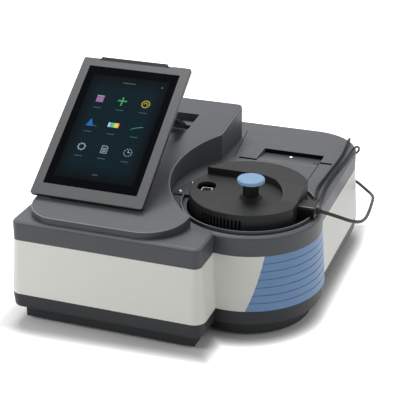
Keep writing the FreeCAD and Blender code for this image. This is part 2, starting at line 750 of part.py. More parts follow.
def build_screen():
    """Bezel, glass, panel, back cover, hinge and prop."""
    half = SCREEN_W / 2
    frame = rounded_box(-half, half, 0, SCREEN_L, -BEZEL_T, 0, BEZEL_CORNER_R)
    frame = soften(frame, 0, 0.8)
    gx, gy0 = GLASS_W / 2, GLASS_BOTTOM
    gy1 = gy0 + GLASS_L
    window = box(-gx, gx, gy0, gy1, -GLASS_RECESS - GLASS_T, 1)
    step = 3.0
    through = box(-gx + step, gx - step, gy0 + step, gy1 - step, -BEZEL_T - 1, 0)
    notch_w = SPINE_W / 2
    notch_s = SCREEN_L - SPINE_LIP
    notch = Part.Face(
        Part.makePolygon(
            [
                Vector(-notch_w, SCREEN_L + 1, -BEZEL_T - 1),
                Vector(-notch_w, notch_s, -BEZEL_T - 1),
                Vector(notch_w - 8, notch_s, -BEZEL_T - 1),
                Vector(notch_w + 2, SCREEN_L + 1, -BEZEL_T - 1),
                Vector(-notch_w, SCREEN_L + 1, -BEZEL_T - 1),
            ]
        )
    ).extrude(Vector(0, 0, BEZEL_T + 3))
    frame = frame.cut([window, through, notch])
    keep("screen_bezel", tilt_up(frame))

    glass_gap = 0.2
    lcd_top = -GLASS_RECESS - GLASS_T
    glass = box(-gx + glass_gap, gx - glass_gap, gy0 + glass_gap, gy1 - glass_gap, lcd_top, -GLASS_RECESS)
    keep("touch_glass", tilt_up(glass))
    lcd = box(-gx + LCD_MARGIN, gx - LCD_MARGIN, gy0 + LCD_MARGIN, gy1 - LCD_MARGIN, -BEZEL_T, lcd_top)
    keep("lcd_panel", tilt_up(lcd))

    spine_half = SPINE_W / 2
    spine_foot = -BEZEL_T - BACK_PLATE_T - SPINE_DEPTH
    plate_half, plate_top = half - BACK_PLATE_MARGIN, SCREEN_L - BACK_PLATE_MARGIN
    plate = rounded_box(
        -plate_half, plate_half, BACK_PLATE_FOOT, plate_top, -BEZEL_T - BACK_PLATE_T, -BEZEL_T, BEZEL_CORNER_R
    )
    spine = rounded_box(
        -spine_half, spine_half, SPINE_START, SCREEN_L + SPINE_LIP, spine_foot, -BEZEL_T - 0.5, 8
    )
    spine = soften(spine, spine_foot, 3.0)
    lip = rounded_box(
        -spine_half + 0.3, spine_half - 9, notch_s + 0.3, SCREEN_L + SPINE_LIP, -BEZEL_T - 1, -1.0, 1.5
    )
    board_bay = box(
        -spine_half + 6, spine_half - 6, 40, SCREEN_L - 20, spine_foot + 2.5, -BEZEL_T + 1
    )
    axis_y, axis_z = HINGE_S, -HINGE_N
    barrel_r = HINGE_PIN_R + 3.2
    half_k = KNUCKLE_W / 2
    barrel = cyl_x(axis_y, axis_z, -half_k, half_k, barrel_r)
    web = box(-half_k, half_k, axis_y, axis_y + barrel_r + 6, axis_z - 1, -BEZEL_T - BACK_PLATE_T)
    ear_room = []
    for side in (-1, 1):
        a, b = sorted((side * half_k, side * (half_k + HINGE_EAR_T + 1.0)))
        room_end = HINGE_S + barrel_r + 4
        ear_room.append(box(a, b, SPINE_START - 4, room_end, spine_foot - 6, -BEZEL_T - BACK_PLATE_T))
    back = plate.fuse([spine, lip]).cut([board_bay] + ear_room).fuse([barrel, web])
    lug_half = PROP_W / 2 - PROP_RAIL_W
    lug_r = PROP_PIN_R + 2.4
    lugs = []
    for side in (-1, 1):
        inner_x = side * (lug_half - 0.4)
        outer_x = side * (lug_half - 6.4)
        a, b = sorted((inner_x, outer_x))
        lug = cyl_x(PROP_S, -PROP_N, a, b, lug_r)
        lug = lug.fuse(box(a, b, PROP_S - lug_r, PROP_S + lug_r, -PROP_N, spine_foot + 1))
        lugs.append(lug)
    back = back.fuse(lugs)
    back = back.cut([
        cyl_x(axis_y, axis_z, -half_k - 1, half_k + 1, HINGE_PIN_R + RUN_GAP),
        cyl_x(PROP_S, -PROP_N, -PROP_W, PROP_W, PROP_PIN_R + RUN_GAP),
    ])
    keep("screen_back_cover", tilt_up(back.removeSplitter()))

    board = box(-spine_half + 8, spine_half - 8, 44, SCREEN_L - 24, -BEZEL_T - 1.6, -BEZEL_T)
    chip = box(-14, 14, 90, 118, -BEZEL_T - 4.6, -BEZEL_T - 1.6)
    keep("screen_board", tilt_up(board.fuse(chip)))

    ay, az = screen_point(HINGE_S, -HINGE_N)
    pin_half = half_k + HINGE_EAR_T + 1.0
    keep("hinge_pin", cyl_x(ay, az, SCREEN_X - pin_half, SCREEN_X + pin_half, HINGE_PIN_R))
    ears = []
    for side in (-1, 1):
        a, b = sorted((SCREEN_X + side * (half_k + 0.5), SCREEN_X + side * (half_k + 0.5 + HINGE_EAR_T)))
        ear = cyl_x(ay, az, a, b, HINGE_PIN_R + 2.6)
        ear = ear.fuse(box(a, b, ay - HINGE_PIN_R - 2.6, ay + HINGE_PIN_R + 2.6, TROUGH_Z, az))
        ears.append(ear.cut(cyl_x(ay, az, a - 1, b + 1, HINGE_PIN_R)))
    keep("hinge_ears", Part.makeCompound(ears))

    pivot, foot, length, lean, axis, fold, swing = prop_layout()
    print("screen axis", axis, "prop pivot", pivot, "foot", foot, "length", round(length, 2))
    print("fold deg", round(fold, 3), "swing deg", round(swing, 3), "ratio", round(swing / fold, 4))
    rail = PROP_W / 2
    prop = rounded_box(-rail, rail, -PROP_PIN_R - 2.4, length, -PROP_T / 2, PROP_T / 2, 2.0)
    open_half = rail - PROP_RAIL_W
    prop = prop.cut(box(-open_half, open_half, -10, length - PROP_RAIL_W * 1.4, -PROP_T, PROP_T))
    prop = prop.cut(cyl_x(0, 0, -rail - 1, rail + 1, PROP_PIN_R + RUN_GAP))
    eye_r = PROP_PIN_R + 2.4
    for side in (-1, 1):
        a, b = sorted((side * rail, side * open_half))
        eye = cyl_x(0, 0, a, b, eye_r).cut(cyl_x(0, 0, a - 1, b + 1, PROP_PIN_R + RUN_GAP))
        prop = prop.fuse(eye)
    prop.rotate(Vector(0, 0, 0), Vector(1, 0, 0), math.degrees(lean))
    prop.translate(Vector(SCREEN_X, pivot[0], pivot[1]))
    keep("prop_leg", prop.removeSplitter())
    pin_end = rail - 1.0
    keep("prop_pin", cyl_x(pivot[0], pivot[1], SCREEN_X - pin_end, SCREEN_X + pin_end, PROP_PIN_R))


def gear_solid(x, y, z0, z1, teeth, phase):
    """Spur gear with involute flanks, its first tooth at the phase angle.

    A flank point at radius r turns by the difference of the involute
    function at the pitch circle and at r.
    """
    pressure = math.radians(20)
    pitch = GEAR_MODULE * teeth / 2
    tip = pitch + GEAR_MODULE
    root = pitch - 1.25 * GEAR_MODULE
    base = pitch * math.cos(pressure)
    half = (math.pi * GEAR_MODULE / 2 - GEAR_BACKLASH) / 2 / pitch
    involute = math.tan(pressure) - pressure
    low = max(base, root)
    flank = []
    for i in range(3):
        r = low + (tip - low) * i / 2
        a = math.acos(min(1.0, base / r))
        flank.append((r, half + involute - (math.tan(a) - a)))
    points = []
    for tooth in range(teeth):
        middle = math.radians(phase) + 2 * math.pi * tooth / teeth
        side = [(root, middle - flank[0][1])] + [(r, middle - a) for r, a in flank]
        side += [(r, middle + a) for r, a in reversed(flank)] + [(root, middle + flank[0][1])]
        if root >= base:
            side = side[1:-1]
        points += [Vector(x + r * math.cos(t), y + r * math.sin(t), z0) for r, t in side]
    return Part.Face(Part.makePolygon(points + points[:1])).extrude(Vector(0, 0, z1 - z0))


def cell_places():
    """Plan positions and turns of the cells on the carousel."""
    places = []
    for i in range(CELL_COUNT):
        angle = CELL_ANGLE_DEG + 360.0 * i / CELL_COUNT
        turn = math.radians(angle)
        x = POD_X + CELL_PITCH_R * math.cos(turn)
        y = POD_CENTRE_Y + CELL_PITCH_R * math.sin(turn)
        places.append((x, y, angle))
    return places


def square_post(x, y, angle, z0, z1, width):
    """Square upright post turned to face the carousel's middle."""
    half = width / 2
    post = box(-half, half, -half, half, z0, z1)
    post.rotate(Vector(0, 0, 0), Vector(0, 0, 1), angle)
    post.translate(Vector(x, y, 0))
    return post


def build_changer():
    """Well liner, changer housing, cover, carousel, drive and cells."""
    cx, cy = POD_X, POD_CENTRE_Y
    beam = cyl_y(CELL_X, BEAM_Z, cy - POD_R, cy + POD_R, BEAM_R)
    pinion_r = GEAR_MODULE * (GEAR_TEETH + PINION_TEETH) / 2
    turn = math.radians(GEAR_ANGLE_DEG)
    px, py = cx + pinion_r * math.cos(turn), cy + pinion_r * math.sin(turn)
    shaft_hole = cyl(px, py, WELL_FLOOR_Z - LINER_T - 1, WELL_FLOOR_Z + CHANGER_WALL + 1, MOTOR_SHAFT_R + 1.5)

    flange_z = DECK_Z - LINER_GROOVE
    liner = cyl(cx, cy, WELL_FLOOR_Z - LINER_T, flange_z, WELL_R + LINER_T)
    liner = liner.fuse(cyl(cx, cy, flange_z - LINER_FLANGE_T, flange_z, LINER_FLANGE_R))
    liner = liner.cut([cyl(cx, cy, WELL_FLOOR_Z, DECK_Z + 1, WELL_R), beam, shaft_hole])
    keep("well_liner", liner.fuse(well_lip(flange_z)).removeSplitter())

    wall = cyl(cx, cy, WELL_FLOOR_Z, CHANGER_SEAM_Z, CHANGER_R).cut(flat_cut(CHANGER_FLAT, FLAT_FOOT_Z))
    hollow = cyl(cx, cy, WELL_FLOOR_Z + CHANGER_WALL, CHANGER_SEAM_Z + 1, CHANGER_R - CHANGER_WALL)
    hollow = hollow.cut(flat_cut(CHANGER_FLAT - FLAT_WALL, FLAT_FOOT_Z - FLAT_WALL))
    cuts = [hollow, beam, shaft_hole]
    for i in range(VENT_COUNT):
        angle = VENT_FIRST_DEG + (VENT_LAST_DEG - VENT_FIRST_DEG) * i / (VENT_COUNT - 1)
        slot = box(
            CHANGER_R - CHANGER_WALL - 2, CHANGER_R + 3, -VENT_W / 2, VENT_W / 2, VENT_BOTTOM_Z, VENT_TOP_Z
        )
        slot.rotate(Vector(0, 0, 0), Vector(0, 0, 1), angle)
        slot.translate(Vector(cx, cy, 0))
        cuts.append(slot)
    keep("changer_housing", wall.cut(cuts))

    keep("changer_cover", changer_cover(cx, cy))
    spindle = cyl(cx, cy, WELL_FLOOR_Z + CHANGER_WALL, CELL_FOOT_Z + SLEEVE_H + 6, SPINDLE_R)
    seat = cyl(cx, cy, WELL_FLOOR_Z + CHANGER_WALL, WELL_FLOOR_Z + CHANGER_WALL + 1.0, HUB_R - 2)
    keep("carousel_spindle", spindle.fuse(seat))

    floor_z = CELL_FOOT_Z - CAROUSEL_FLOOR_T
    disc = cyl(cx, cy, floor_z, CELL_FOOT_Z, CAROUSEL_R)
    hub = cyl(cx, cy, floor_z, CELL_FOOT_Z + SLEEVE_H, HUB_R)
    sleeves, pockets = [], []
    for x, y, angle in cell_places():
        sleeves.append(square_post(x, y, angle, floor_z, CELL_FOOT_Z + SLEEVE_H, SLEEVE_W))
        pockets.append(square_post(x, y, angle, CELL_FOOT_Z, CELL_FOOT_Z + SLEEVE_H + 1, CELL_W + 2 * CELL_GAP))
        window = cyl_x(0, 0, -SLEEVE_W, SLEEVE_W, BEAM_R)
        window.rotate(Vector(0, 0, 0), Vector(0, 0, 1), angle + 90)
        window.translate(Vector(x, y, BEAM_Z))
        pockets.append(window)
    bore = cyl(cx, cy, floor_z - 10, CELL_FOOT_Z + SLEEVE_H + 1, SPINDLE_R + RUN_GAP)
    carousel = disc.fuse([hub] + sleeves).cut(pockets + [bore])
    keep("carousel", carousel)

    gear_z = floor_z - GEAR_T
    gear = gear_solid(cx, cy, gear_z, floor_z, GEAR_TEETH, GEAR_ANGLE_DEG)
    windows = []
    for i in range(6):
        angle = 60.0 * i + 30
        spot = math.radians(angle)
        wx, wy = cx + GEAR_WINDOW_PCR * math.cos(spot), cy + GEAR_WINDOW_PCR * math.sin(spot)
        windows.append(cyl(wx, wy, gear_z - 1, floor_z + 1, GEAR_WINDOW_R))
    gear = gear.cut(windows + [cyl(cx, cy, gear_z - 1, floor_z + 1, SPINDLE_R + RUN_GAP)])
    keep("drive_gear", gear)

    pinion_phase = GEAR_ANGLE_DEG + 180 + 180.0 / PINION_TEETH
    pinion = gear_solid(px, py, gear_z, floor_z, PINION_TEETH, pinion_phase)
    motor_top = WELL_FLOOR_Z - LINER_T - 1.0
    shaft = cyl(px, py, motor_top - 6, floor_z - 0.6, MOTOR_SHAFT_R)
    keep("motor_pinion", pinion.cut(cyl(px, py, gear_z - 1, floor_z + 1, MOTOR_SHAFT_R)))
    keep("motor_shaft", shaft)
    body = rounded_box(
        px - MOTOR_W / 2, px + MOTOR_W / 2, py - MOTOR_W / 2, py + MOTOR_W / 2, motor_top - MOTOR_H, motor_top, 4
    )
    collar = cyl(px, py, motor_top, WELL_FLOOR_Z - LINER_T, 11)
    hole = cyl(px, py, motor_top - 7, motor_top + 2, MOTOR_SHAFT_R + RUN_GAP)
    keep("carousel_motor", body.fuse(collar).cut(hole))

    cells, samples = [], []
    for x, y, angle in cell_places():
        glass = square_post(x, y, angle, CELL_FOOT_Z, CELL_TOP_Z, CELL_W)
        room = square_post(x, y, angle, CELL_FOOT_Z + CELL_GLASS_T, CELL_TOP_Z + 1, CELL_W - 2 * CELL_GLASS_T)
        cells.append(glass.cut(room))
        fill_z = CELL_FOOT_Z + CELL_GLASS_T
        samples.append(square_post(x, y, angle, fill_z, fill_z + SAMPLE_H, CELL_W - 2 * CELL_GLASS_T))
    keep("cuvettes", Part.makeCompound(cells))
    keep("liquid_samples", Part.makeCompound(samples))

    stem_foot = CHANGER_TOP_Z
    stem_top = KNOB_TOP_Z - KNOB_CAP_T
    stem = cyl(KNOB_X, KNOB_Y, stem_foot, stem_top, KNOB_STEM_R)
    collar = Part.makeCone(KNOB_FLARE_R, KNOB_STEM_R, 3.0, Vector(KNOB_X, KNOB_Y, stem_foot))
    keep("knob_stem", stem.fuse(collar))
    cap = soften(cyl(KNOB_X, KNOB_Y, stem_top, KNOB_TOP_Z, KNOB_CAP_R), KNOB_TOP_Z, 1.5)
    keep("knob_cap", cap)


def flat_cut(offset, z0):
    """Large block right of the changer's flat side, from height z0 up."""
    x0 = POD_X + offset
    return box(x0, x0 + CHANGER_R, POD_CENTRE_Y - CHANGER_R, POD_CENTRE_Y + CHANGER_R, z0, PLATEAU_TOP_Z + 2)


def well_lip(foot_z):
    """Raised rim of the well, open where the bracket and the block pass."""
    top = DECK_Z + LIP_H
    ring = cyl(POD_X, POD_CENTRE_Y, foot_z, top, LIP_R)
    ring = ring.cut(cyl(POD_X, POD_CENTRE_Y, foot_z - 1, top + 1, LIP_R - LIP_T))
    margin = math.degrees(LIP_GAP / LIP_R)
    bracket_gap = sector(EAR_FIRST_DEG - margin, EAR_LAST_DEG + margin, foot_z + LIP_GAP, top + 1)
    block_gap = box(
        FLAT_X, FLAT_X + BLOCK_L, POD_CENTRE_Y + BLOCK_FRONT_DY - LIP_GAP,
        POD_CENTRE_Y + BLOCK_REAR_DY + LIP_GAP, foot_z, top + 1,
    )
    return ring.cut([bracket_gap, block_gap])


def changer_cover(cx, cy):
    """Cover in two levels: a low front and a raised crescent behind."""
    flat = flat_cut(CHANGER_FLAT, CHANGER_SEAM_Z)
    low = cyl(cx, cy, CHANGER_SEAM_Z, CHANGER_TOP_Z, CHANGER_R).cut(flat)
    low = soften(low, CHANGER_TOP_Z, 0.8)
    high = cyl(cx, cy, CHANGER_SEAM_Z + 1, PLATEAU_TOP_Z, CHANGER_R).cut(flat)
    high = soften(high, PLATEAU_TOP_Z, 1.2)
    reach = CHANGER_R + 5
    arc_x, arc_y = cx + PLATEAU_ARC_DX, cy + PLATEAU_ARC_DY
    foot_y, top_y = cy + RAMP_FOOT_DY, cy + RAMP_TOP_DY
    front = box(cx - reach, arc_x, cy - reach, cy + PLATEAU_EDGE_DY, CHANGER_SEAM_Z, PLATEAU_TOP_Z + 1)
    floor = box(cx - reach, cx + reach, cy - reach, foot_y, CHANGER_SEAM_Z, PLATEAU_TOP_Z + 1)
    bowl = cyl(arc_x, arc_y, CHANGER_SEAM_Z, PLATEAU_TOP_Z + 1, PLATEAU_ARC_R)
    side = [
        Vector(cx - reach, foot_y, CHANGER_TOP_Z),
        Vector(cx - reach, top_y, PLATEAU_TOP_Z),
        Vector(cx - reach, top_y, PLATEAU_TOP_Z + 1),
        Vector(cx - reach, foot_y - 1, PLATEAU_TOP_Z + 1),
        Vector(cx - reach, foot_y - 1, CHANGER_TOP_Z),
    ]
    ramp = Part.Face(Part.makePolygon(side + side[:1])).extrude(Vector(2 * reach, 0, 0))
    high = high.cut([front, floor, bowl, ramp])
    half_l, half_w = PORT_L / 2, PORT_W / 2
    port = rounded_box(-half_l, half_l, -half_w, half_w, CHANGER_SEAM_Z - 1, PLATEAU_TOP_Z, half_w - 0.5)
    port.rotate(Vector(0, 0, 0), Vector(0, 0, 1), CELL_ANGLE_DEG - 90)
    port.translate(Vector(CELL_X, CELL_Y, 0))
    return low.fuse(high).cut(port).removeSplitter()


def screw(x, y, z0, seat_z):
    """Pan-head screw: a shank up to its seat and a domed head on it."""
    shank = cyl(x, y, z0, seat_z + 0.1, SCREW_R)
    head = soften(cyl(x, y, seat_z, seat_z + SCREW_HEAD_T, SCREW_HEAD_R), seat_z + SCREW_HEAD_T, SCREW_HEAD_T * 0.6)
    return shank.fuse(head)


def sector(first_deg, last_deg, z0, z1):
    """Wide upright wedge about the pod's middle, between two angles."""
    fan = [Vector(POD_X, POD_CENTRE_Y, z0)]
    for angle in (first_deg, (first_deg + last_deg) / 2, last_deg):
        turn = math.radians(angle)
        reach = 3 * EAR_R
        fan.append(Vector(POD_X + reach * math.cos(turn), POD_CENTRE_Y + reach * math.sin(turn), z0))
    return Part.Face(Part.makePolygon(fan + fan[:1])).extrude(Vector(0, 0, z1 - z0))


def build_connector():
    """Bracket and connector block of the changer, its gland and fittings."""
    block_y0, block_y1 = POD_CENTRE_Y + BLOCK_FRONT_DY, POD_CENTRE_Y + BLOCK_REAR_DY
    block = box(FLAT_X, FLAT_X + BLOCK_L, block_y0, block_y1, DECK_Z, BLOCK_Z1)
    keep("connector_block", soften(block, BLOCK_Z1, BLOCK_EDGE_R))
    exit_x, exit_y, exit_z = CABLE_ROUTE[0]
    foot = Vector(exit_x - GLAND_L, exit_y, exit_z)
    keep("cable_gland", Part.makeCone(GLAND_R, CABLE_D / 2 + 0.8, GLAND_L, foot, Vector(1, 0, 0)))
    outer = cyl(POD_X, POD_CENTRE_Y, DECK_Z, DECK_Z + EAR_T, EAR_R)
    ring = outer.cut(cyl(POD_X, POD_CENTRE_Y, DECK_Z - 1, DECK_Z + EAR_T + 1, CHANGER_R + RUN_GAP))
    ear = ring.common(sector(EAR_FIRST_DEG, EAR_LAST_DEG, DECK_Z - 1, DECK_Z + EAR_T + 1))
    screws, holes = [], []
    for angle in (EAR_FIRST_DEG + EAR_SCREW_INSET, EAR_LAST_DEG - EAR_SCREW_INSET):
        turn = math.radians(angle)
        x, y = POD_X + EAR_SCREW_R * math.cos(turn), POD_CENTRE_Y + EAR_SCREW_R * math.sin(turn)
        holes.append(cyl(x, y, DECK_Z - 1, DECK_Z + EAR_T + 1, SCREW_R))
        screws.append(screw(x, y, DECK_Z - DECK_T, DECK_Z + EAR_T))
    keep("changer_bracket", ear.cut(holes))
    recess_z = DECK_Z - RECESS_DEPTH * (DECK_SCREW[1] - RECESS_Y0) / (RECESS_Y1 - RECESS_Y0)
    screws.append(screw(DECK_SCREW[0], DECK_SCREW[1], recess_z - 2.0, recess_z + 0.5))
    keep("bright_screws", Part.makeCompound(screws))

    fittings = []
    for route in (TUBE_A_ROUTE, TUBE_B_ROUTE):
        x, y, z = route[0]
        barb = cyl_y(x, z, y - FITTING_L, y, FITTING_R)
        nut = cyl_y(x, z, y - FITTING_L, y - FITTING_L + 2.5, FITTING_NUT_R)
        fittings.append(barb.fuse(nut))
    for route in (TUBE_A_ROUTE, TUBE_B_ROUTE):
        x, y, z = route[-1]
        fittings.append(cyl_y(x, z, REAR_PANEL_Y - 6, y, FITTING_R))
    keep("hose_fittings", Part.makeCompound(fittings))


def build_rear():
    """Rear panel with the mains inlet, switch, data sockets and fan."""
    y0, y1 = REAR_PANEL_Y, REAR_PANEL_Y + REAR_PANEL_T
    side_gap = 0.2
    plate = box(
        REAR_PANEL_X0 + side_gap, REAR_PANEL_X1 - side_gap, y0, y1,
        REAR_PANEL_Z0 + side_gap, REAR_PANEL_Z1 - side_gap,
    )
    flange = box(REAR_PANEL_X0 - 6, REAR_PANEL_X1 + 6, y0 - 1.5, y0, REAR_PANEL_Z0 - 4, REAR_PANEL_Z1 + 2)
    flange = flange.common(case_part("rear", REAR_PANEL_Z0 - 6, REAR_PANEL_Z1 + 4, -WALL - 0.2, -WALL - 0.2))
    plate = plate.fuse(flange)
    half_w, half_h = INLET_W / 2, INLET_H / 2
    cuts = [
        box(INLET_X - half_w, INLET_X + half_w, y0 - 3, y1 + 1, INLET_Z - half_h, INLET_Z + half_h),
        box(
            SWITCH_X - SWITCH_W / 2, SWITCH_X + SWITCH_W / 2, y0 - 3, y1 + 1,
            INLET_Z - SWITCH_H / 2, INLET_Z + SWITCH_H / 2,
        ),
        cyl_y(SOCKET_X, SOCKET_Z, y0 - 3, y1 + 1, SOCKET_R + RUN_GAP),
    ]
    for i in range(2):
        x = USB_X + USB_PITCH * i
        cuts.append(box(x - 7, x + 7, y0 - 3, y1 + 1, INLET_Z - 4, INLET_Z + 4))
    for route in (TUBE_A_ROUTE, TUBE_B_ROUTE):
        x, _, z = route[-1]
        cuts.append(cyl_y(x, z, y0 - 3, y1 + 1, FITTING_R + RUN_GAP))
    for i in range(7):
        x = FAN_X - 18 + 6 * i
        reach = math.sqrt(19.0**2 - (x - FAN_X) ** 2) if abs(x - FAN_X) < 19 else 0
        cuts.append(box(x - 1.5, x + 1.5, y0 - 3, y1 + 1, FAN_Z - reach, FAN_Z + reach))
    keep("rear_panel", plate.cut(cuts))

    shell = box(INLET_X - half_w, INLET_X + half_w, y1 - INLET_DEPTH, y1, INLET_Z - half_h, INLET_Z + half_h)
    cavity = box(
        INLET_X - half_w + 2, INLET_X + half_w - 2, y1 - INLET_DEPTH + 4, y1 + 1,
        INLET_Z - half_h + 2, INLET_Z + half_h - 2,
    )
    blades = [
        box(INLET_X + dx - 1, INLET_X + dx + 1, y1 - INLET_DEPTH + 3, y1 - 5, INLET_Z + dz - 2, INLET_Z + dz + 2)
        for dx, dz in ((-7.0, -3.0), (0.0, 3.0), (7.0, -3.0))
    ]
    keep("power_inlet", shell.cut(cavity).fuse(blades))

    sw, sh = SWITCH_W / 2, SWITCH_H / 2
    frame = box(SWITCH_X - sw, SWITCH_X + sw, y1 - 14, y1, INLET_Z - sh, INLET_Z + sh)
    room = box(SWITCH_X - sw + 1.5, SWITCH_X + sw - 1.5, y1 - 12, y1 + 1, INLET_Z - sh + 1.5, INLET_Z + sh - 1.5)
    frame = frame.cut(room)
    pivot_y = y1 - 5.0
    frame = frame.fuse(cyl_x(pivot_y, INLET_Z, SWITCH_X - sw + 1, SWITCH_X + sw - 1, 1.0))
    keep("switch_frame", frame)
    rocker_half = sh - ROCKER_INSET
    face = y1 + 0.6
    side = [
        Vector(0, pivot_y - 1.6, INLET_Z - 2.5),
        Vector(0, face - 0.6, INLET_Z - rocker_half),
        Vector(0, face + 0.6, INLET_Z - rocker_half),
        Vector(0, face - 0.6, INLET_Z),
        Vector(0, face + 0.6, INLET_Z + rocker_half),
        Vector(0, face - 0.6, INLET_Z + rocker_half),
        Vector(0, pivot_y - 1.6, INLET_Z + 2.5),
    ]
    rocker = Part.Face(Part.makePolygon(side + side[:1])).extrude(Vector(SWITCH_W - 4.0, 0, 0))
    rocker.translate(Vector(SWITCH_X - sw + 2.0, 0, 0))
    keep("power_rocker", rocker.cut(cyl_x(pivot_y, INLET_Z, SWITCH_X - sw, SWITCH_X + sw, 1.0 + RUN_GAP)))

    sockets = []
    for i in range(2):
        x = USB_X + USB_PITCH * i
        can = box(x - 7, x + 7, y1 - 15, y1, INLET_Z - 4, INLET_Z + 4)
        mouth = box(x - 6.2, x + 6.2, y1 - 13, y1 + 1, INLET_Z - 2.8, INLET_Z + 3.2)
        tongue = box(x - 5.5, x + 5.5, y1 - 14, y1 - 3, INLET_Z - 2.8, INLET_Z - 1.4)
        sockets.append(can.cut(mouth).fuse(tongue))
    keep("usb_sockets", Part.makeCompound(sockets))

    socket = cyl_y(SOCKET_X, SOCKET_Z, y1 - 12, y1 + 1.0, SOCKET_R)
    keep("cable_socket", socket)

    half = FAN_SIZE / 2
    fy1 = y0 - 1.5
    fy0 = fy1 - FAN_DEPTH
    frame = rounded_box(-half, half, -half, half, 0, FAN_DEPTH, 4)
    frame = frame.cut(Part.makeCylinder(half - 2, FAN_DEPTH + 2, Vector(0, 0, -1)))
    frame.rotate(Vector(0, 0, 0), Vector(1, 0, 0), 90)
    frame.translate(Vector(FAN_X, fy1, FAN_Z))
    motor = cyl_y(FAN_X, FAN_Z, fy0, fy0 + 4, 9)
    arms = [
        box(FAN_X - half + 1, FAN_X + half - 1, fy0, fy0 + 1.5, FAN_Z - 1.5, FAN_Z + 1.5),
        box(FAN_X - 1.5, FAN_X + 1.5, fy0, fy0 + 1.5, FAN_Z - half + 1, FAN_Z + half - 1),
    ]
    pin = cyl_y(FAN_X, FAN_Z, fy0, fy1 - 2, 1.5)
    keep("fan_frame", frame.fuse([motor, pin] + arms))
    hub = cyl_y(FAN_X, FAN_Z, fy0 + 4.4, fy1 - 1, 8)
    blades = []
    for i in range(7):
        blade = Part.makeBox(half - 2 - 0.8 - 7.0, 9.0, 1.2, Vector(7.0, -4.5, -0.6))
        blade.rotate(Vector(0, 0, 0), Vector(1, 0, 0), 35)
        blade.rotate(Vector(0, 0, 0), Vector(0, 0, 1), 360.0 * i / 7)
        blade.rotate(Vector(0, 0, 0), Vector(1, 0, 0), 90)
        blade.translate(Vector(FAN_X, (fy0 + fy1) / 2 + 1.4, FAN_Z))
        blades.append(blade)
    rotor = hub.fuse(blades).cut(cyl_y(FAN_X, FAN_Z, fy0, fy1 - 1.6, 1.5 + RUN_GAP))
    keep("fan_rotor", rotor)


def board_post_places():
    """Plan positions of the four posts under the main board."""
    xs = (BOARD_X0 + 6, BOARD_X0 + BOARD_W - 6)
    ys = (BOARD_Y0 + 6, BOARD_Y0 + BOARD_L - 6)
    return [(x, y) for x in xs for y in ys]


def build_electronics():
    """Main board on the tray's posts and the power supply."""
    board_z = TRAY_FLOOR_Z + BOARD_LIFT
    board = box(BOARD_X0, BOARD_X0 + BOARD_W, BOARD_Y0, BOARD_Y0 + BOARD_L, board_z, board_z + BOARD_T)
    top = board_z + BOARD_T
    parts = [
        box(-110, -82, -150, -122, top, top + 3),
        box(-60, -40, -150, -130, top, top + 2),
        box(-34, -6, -160, -150, top, top + 9),
        box(-130, -120, -110, -70, top, top + 8),
        cyl(-20, -100, top, top + 16, 5),
        cyl(-8, -100, top, top + 16, 5),
    ]
    keep("main_board", board.fuse(parts))
    supply = box(
        SUPPLY_X0, SUPPLY_X0 + SUPPLY_W, SUPPLY_Y0, SUPPLY_Y0 + SUPPLY_L, TRAY_FLOOR_Z, TRAY_FLOOR_Z + SUPPLY_H
    )
    slots = []
    for i in range(5):
        x = SUPPLY_X0 + 8 + 10 * i
        slots.append(box(x, x + 3, SUPPLY_Y0 + 10, SUPPLY_Y0 + SUPPLY_L - 10,
                         TRAY_FLOOR_Z + SUPPLY_H - 3, TRAY_FLOOR_Z + SUPPLY_H + 1))
    keep("power_supply", supply.cut(slots))


def optic_stand(x, y, width, thickness, angle, hole):
    """Upright plate on the bench, turned about Z, with an optional hole."""
    plate = box(-width / 2, width / 2, -thickness / 2, thickness / 2, BENCH_TOP, BEAM_Z + 13)
    foot = box(-width / 2, width / 2, -thickness / 2 - 5, thickness / 2 + 5, BENCH_TOP, BENCH_TOP + 3)
    plate = plate.fuse(foot)
    if hole > 0:
        plate = plate.cut(cyl_y(0, BEAM_Z, -thickness - 6, thickness + 6, hole))
    plate.rotate(Vector(0, 0, 0), Vector(0, 0, 1), angle)
    plate.translate(Vector(x, y, 0))
    return plate


